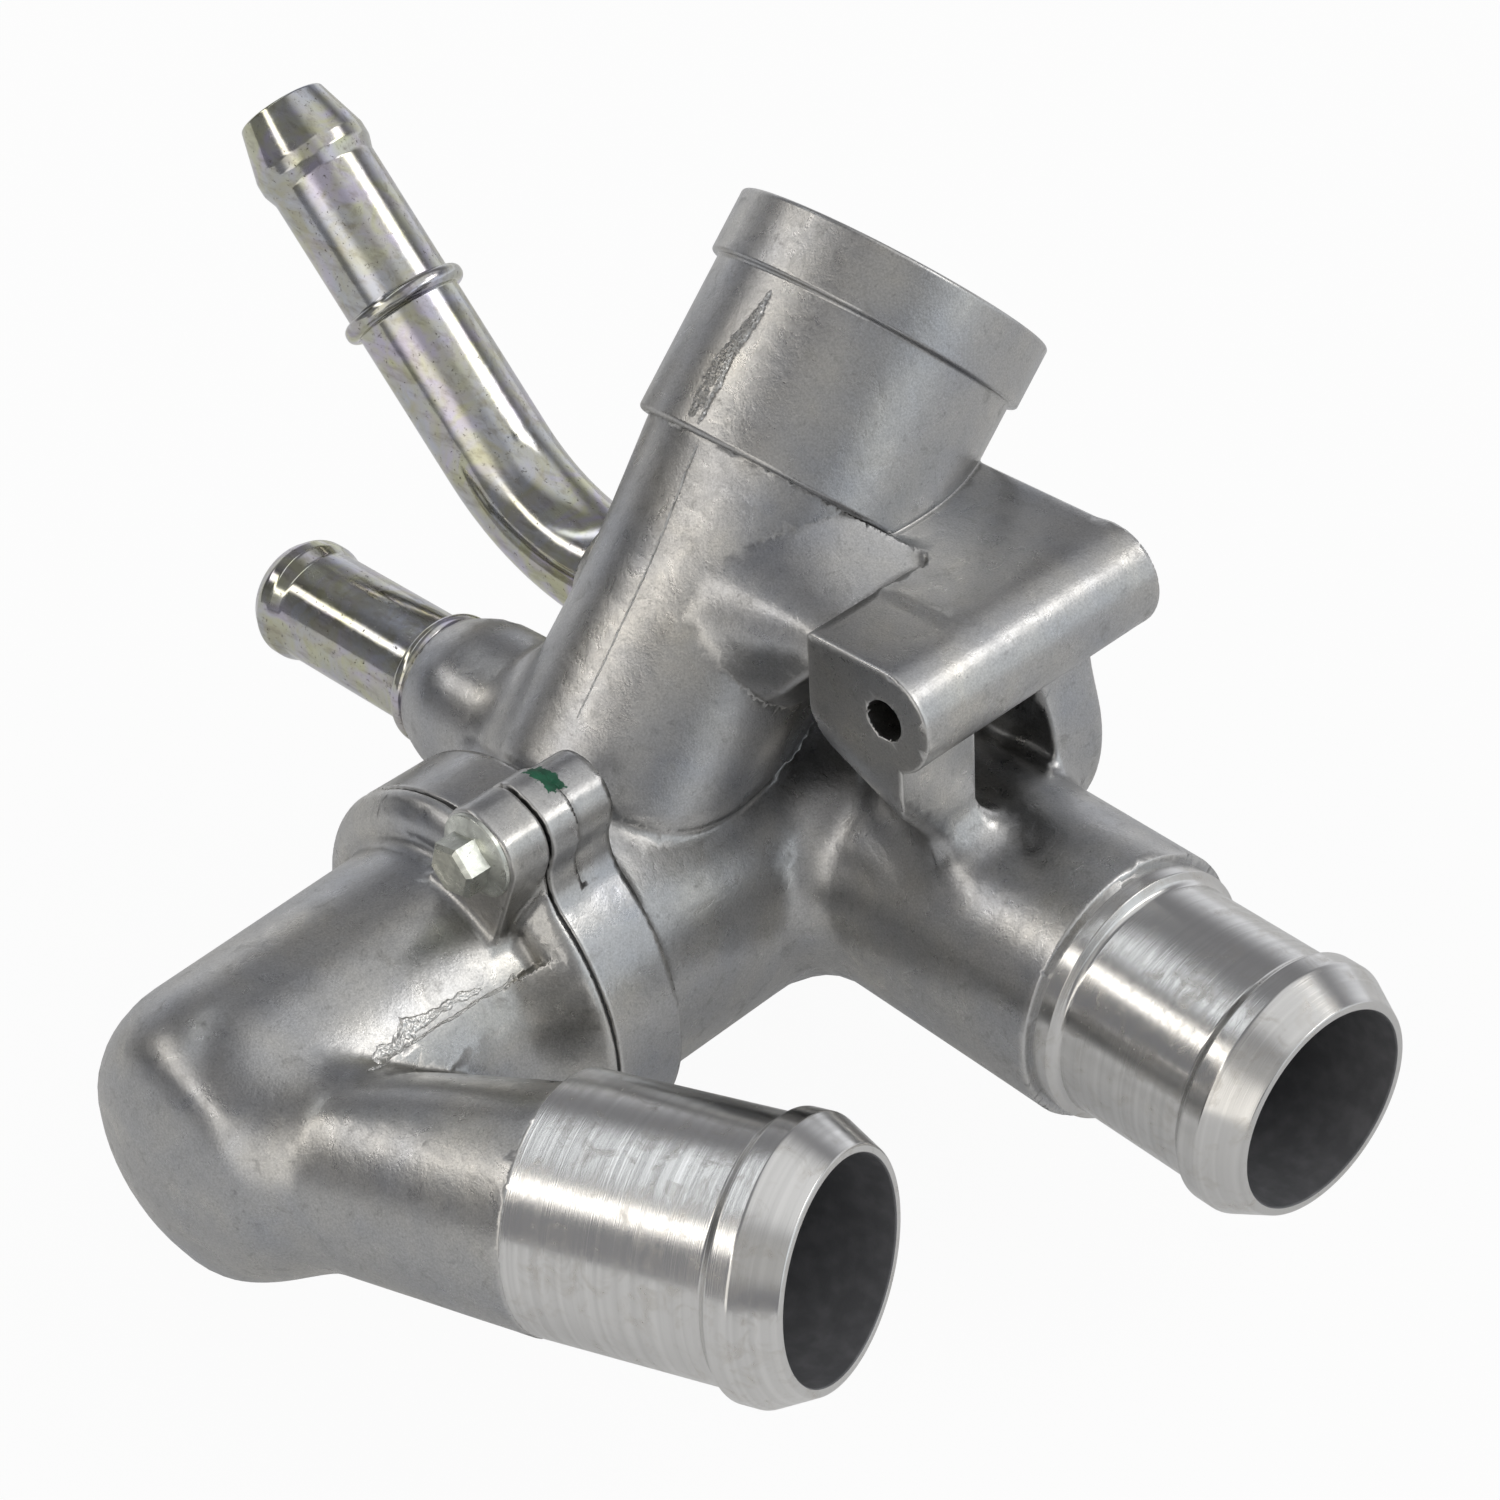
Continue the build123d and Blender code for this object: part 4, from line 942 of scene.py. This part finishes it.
class Finish(Nodes):
    """Material with a Principled shader, and short calls for what feeds it."""

    def __init__(self, name, colour, roughness, metallic=1.0):
        self.material = bpy.data.materials.new(name)
        super().__init__(self.material)
        self.shader = self.tree.nodes["Principled BSDF"]
        self.to("Base Color", (*colour, 1))
        self.to("Roughness", roughness)
        self.to("Metallic", metallic)
        self.at = self.add("ShaderNodeTexCoord").outputs["Object"]

    def to(self, socket, value):
        """Put a value in one of the shader's own sockets."""
        self.put(self.shader.inputs[socket], value)

    def noise(self, size, detail=2.0, roughness=0.5, distortion=0.0, at=None):
        """Noise with features about that size, in millimetres."""
        inputs = [("Vector", at or self.at), ("Scale", 1 / (size * MM)), ("Detail", detail)]
        inputs += [("Roughness", roughness), ("Distortion", distortion)]
        return self.add("ShaderNodeTexNoise", inputs).outputs["Fac"]

    def rings(self, place, number, detail):
        """Rings round an axis, from the place along it, with about that number of them in a metre."""
        inputs = [("W", self.sum("MULTIPLY", place, number)), ("Scale", 1.0), ("Detail", detail)]
        return self.add("ShaderNodeTexNoise", inputs, noise_dimensions="1D").outputs["Fac"]

    def kept(self, name):
        """Number that the mesh keeps for each point."""
        return self.add("ShaderNodeAttribute", attribute_name=name).outputs["Fac"]

    def stretched(self, scale):
        """Object coordinates stretched by a factor on each axis."""
        return self.add("ShaderNodeMapping", [("Vector", self.at), ("Scale", scale)]).outputs[0]

    def done(self, colour, rough, *layers):
        """Material with its colour, roughness and bumps: each a height, its depth in mm and strength."""
        normal = None
        for height, depth, strength in layers:
            inputs = [("Height", height), ("Distance", depth * MM), ("Strength", strength)]
            if normal:
                inputs.append(("Normal", normal))
            normal = self.add("ShaderNodeBump", inputs).outputs[0]
        for socket, value in (("Base Color", colour), ("Roughness", rough), ("Normal", normal)):
            self.to(socket, value)
        return self.material


def scaled(colour, factor):
    """The colour with its light multiplied by a factor."""
    return tuple(factor * c for c in colour)


def dab_share(f):
    """1 inside the dab of paint, and 0 outside it, with a ragged edge."""
    middle = tuple(place * MM for place in DAB)
    near = f.add("ShaderNodeVectorMath", [(0, f.at), (1, middle)], operation="SUBTRACT")
    split = f.add("ShaderNodeSeparateXYZ", [(0, near.outputs[0])])
    ragged = f.span(f.noise(1.3, 3, 0.6), 0.3, 0.7, -DAB_RAGGED * MM, DAB_RAGGED * MM)
    across, along = [f.sum("ADD", split.outputs[k], ragged) for k in (0, 1)]
    past = [
        f.sum("SUBTRACT", f.sum("ABSOLUTE", place), half * MM)
        for place, half in zip((across, along, split.outputs[2]), DAB_HALF)
    ]
    outside = f.sum("MAXIMUM", f.sum("MAXIMUM", past[0], past[1]), past[2])
    return f.span(outside, DAB_EDGE * MM, -DAB_EDGE * MM)


def cast_finish(name, tint, dab=False):
    """Die-cast aluminium: satin grain, flow, clouds of tone with painted bluish and cream reflection,
    smudges, brighter worn edges and painted shade in corners.
    """
    f = Finish(name, (0.4, 0.4, 0.4), 0.45)
    cloud = f.noise(18, 3, 0.55)
    flow = f.noise(5, 3, 0.6, 1.2)
    smudge = f.span(f.noise(3.2, 4, 0.7, 0.6), 0.56, 0.74)
    speck = f.span(f.noise(0.9, 2, 0.6), 0.63, 0.75)
    grain = f.noise(0.32, 2, 0.6)
    # Random clouds of bluish and of cream tone: partly the casting's own tone, partly painted reflection of
    # bluish and cream light
    shade = f.blend(f.span(cloud, 0.3, 0.7), (0.44, 0.455, 0.49), (0.64, 0.62, 0.575))
    shade = f.blend(f.span(flow, 0.35, 0.65, 0, 0.45), shade, (0.5, 0.5, 0.505))
    shade = f.blend(f.sum("MULTIPLY", smudge, 0.4), shade, (0.22, 0.215, 0.2))
    shade = f.blend(f.sum("MULTIPLY", speck, 0.35), shade, (0.2, 0.2, 0.2))
    shade = f.blend(f.span(grain, 0.3, 0.7), f.blend(0.32, shade, (0.1, 0.1, 0.1)), shade)
    # Edges are worn brighter, and corners are darkened with painted shade
    turn = f.kept("edge_wear_and_corner_shade")
    shade = f.blend(f.span(turn, 0.12, 1.5, 0, 0.6), shade, (0.78, 0.77, 0.75))
    shade = f.blend(f.span(turn, -0.1, -0.7, 0, 0.35), shade, (0.16, 0.155, 0.14))
    shade = f.blend(1.0, shade, tint, "MULTIPLY")
    rough = f.span(flow, 0.3, 0.7, 0.25, 0.36)
    rough = f.sum("ADD", rough, f.sum("MULTIPLY", smudge, 0.12))
    metal = 1.0
    if dab:
        paint = dab_share(f)
        green = f.blend(f.span(flow, 0.4, 0.6), (0.006, 0.07, 0.035), (0.012, 0.13, 0.065))
        shade = f.blend(paint, shade, green)
        metal = f.sum("SUBTRACT", 1.0, paint)
        rough = f.sum("ADD", f.sum("MULTIPLY", rough, metal), f.sum("MULTIPLY", paint, 0.55))
    f.to("Metallic", metal)
    return f.done(shade, rough, (flow, 0.25, 0.25), (f.noise(1.1, 3, 0.6), 0.06, 0.35), (grain, 0.04, 0.6))


def turned_finish(name, tint):
    """Turned aluminium: fine rings round the axis, faint stains, and its bore painted dark as painted
    shade.
    """
    f = Finish(name, tint, 0.16)
    place = f.kept("along")
    fine, bands = f.rings(place, 5200, 3), f.rings(place, 700, 2)
    stain = f.span(f.noise(4, 4, 0.65, 0.8), 0.5, 0.72)
    shade = f.blend(f.span(bands, 0.3, 0.7), tint, scaled(tint, 0.88))
    shade = f.blend(f.sum("MULTIPLY", stain, 0.35), shade, (0.42, 0.38, 0.32))
    # The bore is painted dark, less metallic and rougher, as painted shade
    bore = f.kept("inside")
    painted_bore_shade = f.blend(f.span(f.noise(3, 3), 0.4, 0.7), (0.14, 0.142, 0.15), (0.19, 0.19, 0.2))
    f.to("Metallic", f.span(bore, 0, 1, 1.0, 0.2))
    rough = f.sum("ADD", f.span(bands, 0.3, 0.7, 0.15, 0.22), f.sum("MULTIPLY", stain, 0.12))
    rough = f.sum("ADD", rough, f.sum("MULTIPLY", bore, 0.4))
    return f.done(f.blend(bore, shade, painted_bore_shade), rough, (fine, 0.025, 0.4))


def tube_finish(name):
    """Bright zinc on steel tube: iridescent tints, dark specks and streaks along it."""
    f = Finish(name, (0.5, 0.5, 0.48), 0.18)
    cloud = f.noise(6, 3, 0.6, 0.8)
    streak = f.noise(1.6, 3, 0.6, 0.3, f.stretched((0.25, 1, 1)))
    speck = f.span(f.noise(0.8, 3, 0.7), 0.6, 0.72)
    shade = f.blend(f.span(cloud, 0.35, 0.65), (0.48, 0.47, 0.37), (0.52, 0.54, 0.6))
    tint = f.blend(f.span(f.noise(9, 2, 0.5, 1.5), 0.4, 0.62), (0.6, 0.6, 0.4), (0.58, 0.53, 0.68))
    shade = f.blend(f.span(f.noise(11, 2), 0.4, 0.6, 0, 0.7), shade, tint)
    shade = f.blend(f.span(streak, 0.5, 0.75, 0, 0.5), shade, (0.2, 0.17, 0.13))
    shade = f.blend(f.sum("MULTIPLY", speck, 0.75), shade, (0.07, 0.055, 0.04))
    rough = f.sum("ADD", f.span(cloud, 0.3, 0.7, 0.08, 0.16), f.sum("MULTIPLY", speck, 0.3))
    return f.done(shade, rough, (f.noise(5, 2), 0.15, 0.25), (streak, 0.02, 0.3), (speck, 0.02, -0.4))


def plated_finish(name, tint):
    """Dull zinc plate: uneven tone, stains and a little grain."""
    f = Finish(name, tint, 0.3)
    cloud = f.noise(2.5, 4, 0.65, 0.5)
    grain = f.noise(0.35, 2)
    shade = f.blend(f.span(cloud, 0.35, 0.7), tint, scaled(tint, 0.62))
    shade = f.blend(f.span(f.noise(0.9, 3, 0.7), 0.6, 0.72, 0, 0.5), shade, (0.14, 0.13, 0.1))
    return f.done(shade, f.span(cloud, 0.3, 0.7, 0.2, 0.42), (cloud, 0.04, 0.3), (grain, 0.015, 0.4))


def sheet_finish(name, tint, stretch=(1, 1, 1)):
    """Pressed or drawn metal: grain in one direction, with soft clouds."""
    f = Finish(name, tint, 0.25)
    cloud = f.noise(4, 3, 0.6)
    line = f.noise(0.3, 2, 0.6, 0, f.stretched(stretch))
    shade = f.blend(f.span(cloud, 0.3, 0.7), tint, scaled(tint, 0.78))
    shade = f.blend(f.span(line, 0.4, 0.7, 0, 0.25), shade, scaled(tint, 0.5))
    return f.done(shade, f.span(cloud, 0.3, 0.7, 0.18, 0.34), (line, 0.01, 0.5))


def soft_finish(name, dark, light, roughness):
    """Moulded rubber or wax: matt, with fine grain and dust."""
    f = Finish(name, dark, roughness, 0.0)
    dust = f.noise(2, 4, 0.7)
    grain = f.noise(0.25, 2)
    shade = f.blend(f.span(dust, 0.45, 0.75), dark, light)
    rough = f.span(grain, 0.3, 0.7, roughness - 0.08, roughness + 0.08)
    return f.done(shade, rough, (grain, 0.02, 0.4))


def add_camera():
    """Camera at the photograph's viewing angle."""
    forward = Vector(FORWARD).normalized()
    right = forward.cross(Vector(UP)).normalized()
    turn = Matrix((right, right.cross(forward), -forward)).transposed().to_4x4()
    camera = bpy.data.objects.new("camera", bpy.data.cameras.new("camera"))
    bpy.context.scene.collection.objects.link(camera)
    camera.matrix_world = Matrix.Translation(Vector(EYE) * MM) @ turn
    camera.data.lens = LENS
    camera.data.sensor_width = SENSOR
    camera.data.clip_start = NEAREST * MM
    bpy.context.scene.camera = camera


class Studio(Nodes):
    """World light: a dim room with soft panels, seen by light and reflections but not by the camera."""

    def __init__(self):
        world = bpy.data.worlds.new("studio")
        bpy.context.scene.world = world
        super().__init__(world)
        self.way = self.add("ShaderNodeTexCoord").outputs["Generated"]
        level = self.dot((0, 0, 1))
        # Bright horizon behind the part, dark room towards the camera, and a dim ceiling
        behind = self.step(self.dot(BACKDROP_WAY), *BACKDROP_SIDES)
        low_back = self.sum("MULTIPLY", behind, self.step(level, *BACKDROP_TOP))
        self.light = self.blend(low_back, ROOM, BACKDROP)
        self.light = self.blend(self.step(level, *TABLE_EDGE), self.light, TABLE)

    def step(self, value, low, high):
        """Smooth step from 0 to 1 as a value goes from low to high."""
        return self.span(value, low, high, kind="SMOOTHSTEP")

    def dot(self, direction):
        """How far each way looks in a direction."""
        inputs = [(0, self.way), (1, direction)]
        return self.add("ShaderNodeVectorMath", inputs, operation="DOT_PRODUCT").outputs["Value"]

    def panel(self, centre, width, height, strength, colour):
        """Soft rectangular panel in a direction, its width and height in degrees."""
        centre = Vector(centre).normalized()
        right = centre.cross(Vector((0, 0, 1))).normalized()
        ahead = self.sum("MAXIMUM", self.dot(centre), 0.05)
        inside = []
        for way, size in ((right, width), (right.cross(centre), height)):
            reach = math.tan(math.radians(size / 2))
            aside = self.sum("ABSOLUTE", self.sum("DIVIDE", self.dot(way), ahead))
            inside.append(self.step(aside, reach * (1 + PANEL_SOFTNESS), reach * (1 - PANEL_SOFTNESS)))
        self.light = self.blend(self.sum("MULTIPLY", *inside), self.light, scaled(colour, strength))


def add_world():
    """Room with its light panels, and plain white for the camera."""
    studio = Studio()
    for panel in PANELS:
        studio.panel(*panel)
    camera = studio.add("ShaderNodeLightPath").outputs["Is Camera Ray"]
    seen = studio.blend(camera, studio.light, WHITE)
    studio.put(studio.tree.nodes["Background"].inputs["Color"], seen)


def add_floor(height):
    """Plain pale floor under the part: it shows white, and keeps the part's shadow."""
    mesh = bpy.data.meshes.new("floor")
    corners = [(x * FLOOR_REACH, y * FLOOR_REACH, height) for x, y in ((-1, -1), (1, -1), (1, 1), (-1, 1))]
    mesh.from_pydata(corners, [], [(0, 1, 2, 3)])
    floor = bpy.data.objects.new("floor", mesh)
    bpy.context.scene.collection.objects.link(floor)
    f = Finish("floor", (0.8, 0.8, 0.8), 0.9, 0.0)
    f.to("Specular IOR Level", 0.0)
    white = f.add("ShaderNodeEmission", [("Color", (*WHITE, 1)), ("Strength", 1.0)])
    rays = f.add("ShaderNodeLightPath")
    shares = [f.sum("MULTIPLY", rays.outputs[name], part) for name, part in FLOOR_WHITE]
    share = f.sum("MAXIMUM", f.sum("MAXIMUM", shares[0], shares[1]), shares[2])
    mixed = f.add("ShaderNodeMixShader", [(0, share), (1, f.shader.outputs[0]), (2, white.outputs[0])])
    f.tree.links.new(mixed.outputs[0], f.tree.nodes["Material Output"].inputs["Surface"])
    mesh.materials.append(f.material)
    floor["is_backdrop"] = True


def dress(piece, slot, node, finish=None):
    """Finish a new piece, and let it ride on the casting in place of its node."""
    piece.data.materials.append(finish or finishes[slot])
    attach(piece, "casting")
    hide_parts(node)


def add_strips():
    """Strips of casting flash on the neck and on the cover."""
    surfaces = {
        "pipe": (housing_field, "cast_housing", "housing"),
        "band": (band_field, "cast_housing", "housing"),
        "cover": (cover_field, "cast_cover", "valve_cover"),
    }
    draws = np.random.default_rng(FLASH_SEED)
    for name, on, guide, widths, heights, shade in STRIPS:
        field, slot, node = surfaces[on]
        if on != "cover":
            guide = [neck_top(*place) for place in guide]
        dress(flash(name, field, guide, widths, heights, draws, shade), slot, node)


def add_springs():
    """Springs as pieces of their own, each riding on the body that holds it."""
    behaviour = frame["record"]["behaviour"]
    for joint in behaviour["joints"]:
        for spring in joint.get("deforming_nodes", []):
            name, fixed = spring["node"], spring["fixed_end_y_m"]
            piece = bpy.data.objects.new(name + "_coil", frame["nodes"][name].data.copy())
            bpy.context.scene.collection.objects.link(piece)
            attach(piece, next(body for body, nodes in behaviour["bodies"].items() if name in nodes))
            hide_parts(name)
            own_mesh(piece)


add_camera()
recipes = {
    "cast_housing": (cast_finish, WHITE, True),
    "cast_cover": (cast_finish, (0.97, 0.97, 0.965)),
    "zinc_tube": (tube_finish,),
    "zinc_bolt": (plated_finish, (0.72, 0.74, 0.68)),
    "black_rubber": (soft_finish, (0.02, 0.02, 0.02), (0.05, 0.05, 0.05), 0.6),
    "valve_steel": (sheet_finish, (0.62, 0.62, 0.6)),
    "valve_brass": (sheet_finish, (0.72, 0.56, 0.3)),
    "bright_steel": (sheet_finish, (0.75, 0.75, 0.74), (1, 0.1, 1)),
    "spring_steel": (sheet_finish, (0.55, 0.55, 0.54), (1, 6, 1)),
    "wax": (soft_finish, (0.6, 0.42, 0.24), (0.72, 0.5, 0.3), 0.5),
}
finishes = {name: make(name, *how) for name, (make, *how) in recipes.items()}
turned_housing = turned_finish("turned_housing", (0.7, 0.695, 0.685))
turned_cover = turned_finish("turned_cover", (0.74, 0.735, 0.725))
for node in frame["nodes"].values():
    slot = node.data.materials[0].name.split(".")[0]
    node.data.materials.clear()
    node.data.materials.append(finishes[slot])

# Castings, with the turned ends of their spigots and of the neck
housing = skin("housing_skin", housing_field, *HOUSING_BOX)
dress(housing, "cast_housing", "housing")
cover = skin("cover_skin", cover_field, *COVER_BOX)
dress(cover, "cast_cover", "valve_cover")
outline = spigot_outline(SIDE_TURNED, SIDE_MOUTH, land=True)
side_end = turned("side_spigot_end", outline, straight(SIDE_ORIGIN, SIDE_AXIS))
dress(side_end, "cast_housing", "housing", turned_housing)
outline = spigot_outline(COVER_TURNED, COVER_MOUTH, land=False)
cover_end = turned("cover_spigot_end", outline, straight(COVER_ORIGIN, COVER_AXIS))
dress(cover_end, "cast_cover", "valve_cover", turned_cover)
neck_end = turned("neck_end", neck_outline(), straight(NECK_ORIGIN, NECK_AXIS))
dress(neck_end, "cast_housing", "housing")

# Steel tubes
outline = hose_outline(0, SHORT_LENGTH, *SHORT_NOSE)
short_tube = turned("short_tube_skin", outline, straight(SHORT_BOSS, (-1, 0, 0)))
dress(short_tube, "zinc_tube", "short_tube")
outline = hose_outline(LONG_RING + CORNER_AT, LONG_LENGTH + CORNER_AT, *LONG_NOSE)
long_tube = turned("long_tube_skin", refined(*outline, LONG_STEP, 0, LONG_REFINED_TO), bent)
dress(long_tube, "zinc_tube", "long_tube")

add_strips()
add_springs()
add_world()
add_floor(min(cad_low[2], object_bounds()[0][2]))
bpy.context.scene.view_settings.view_transform = "Standard"
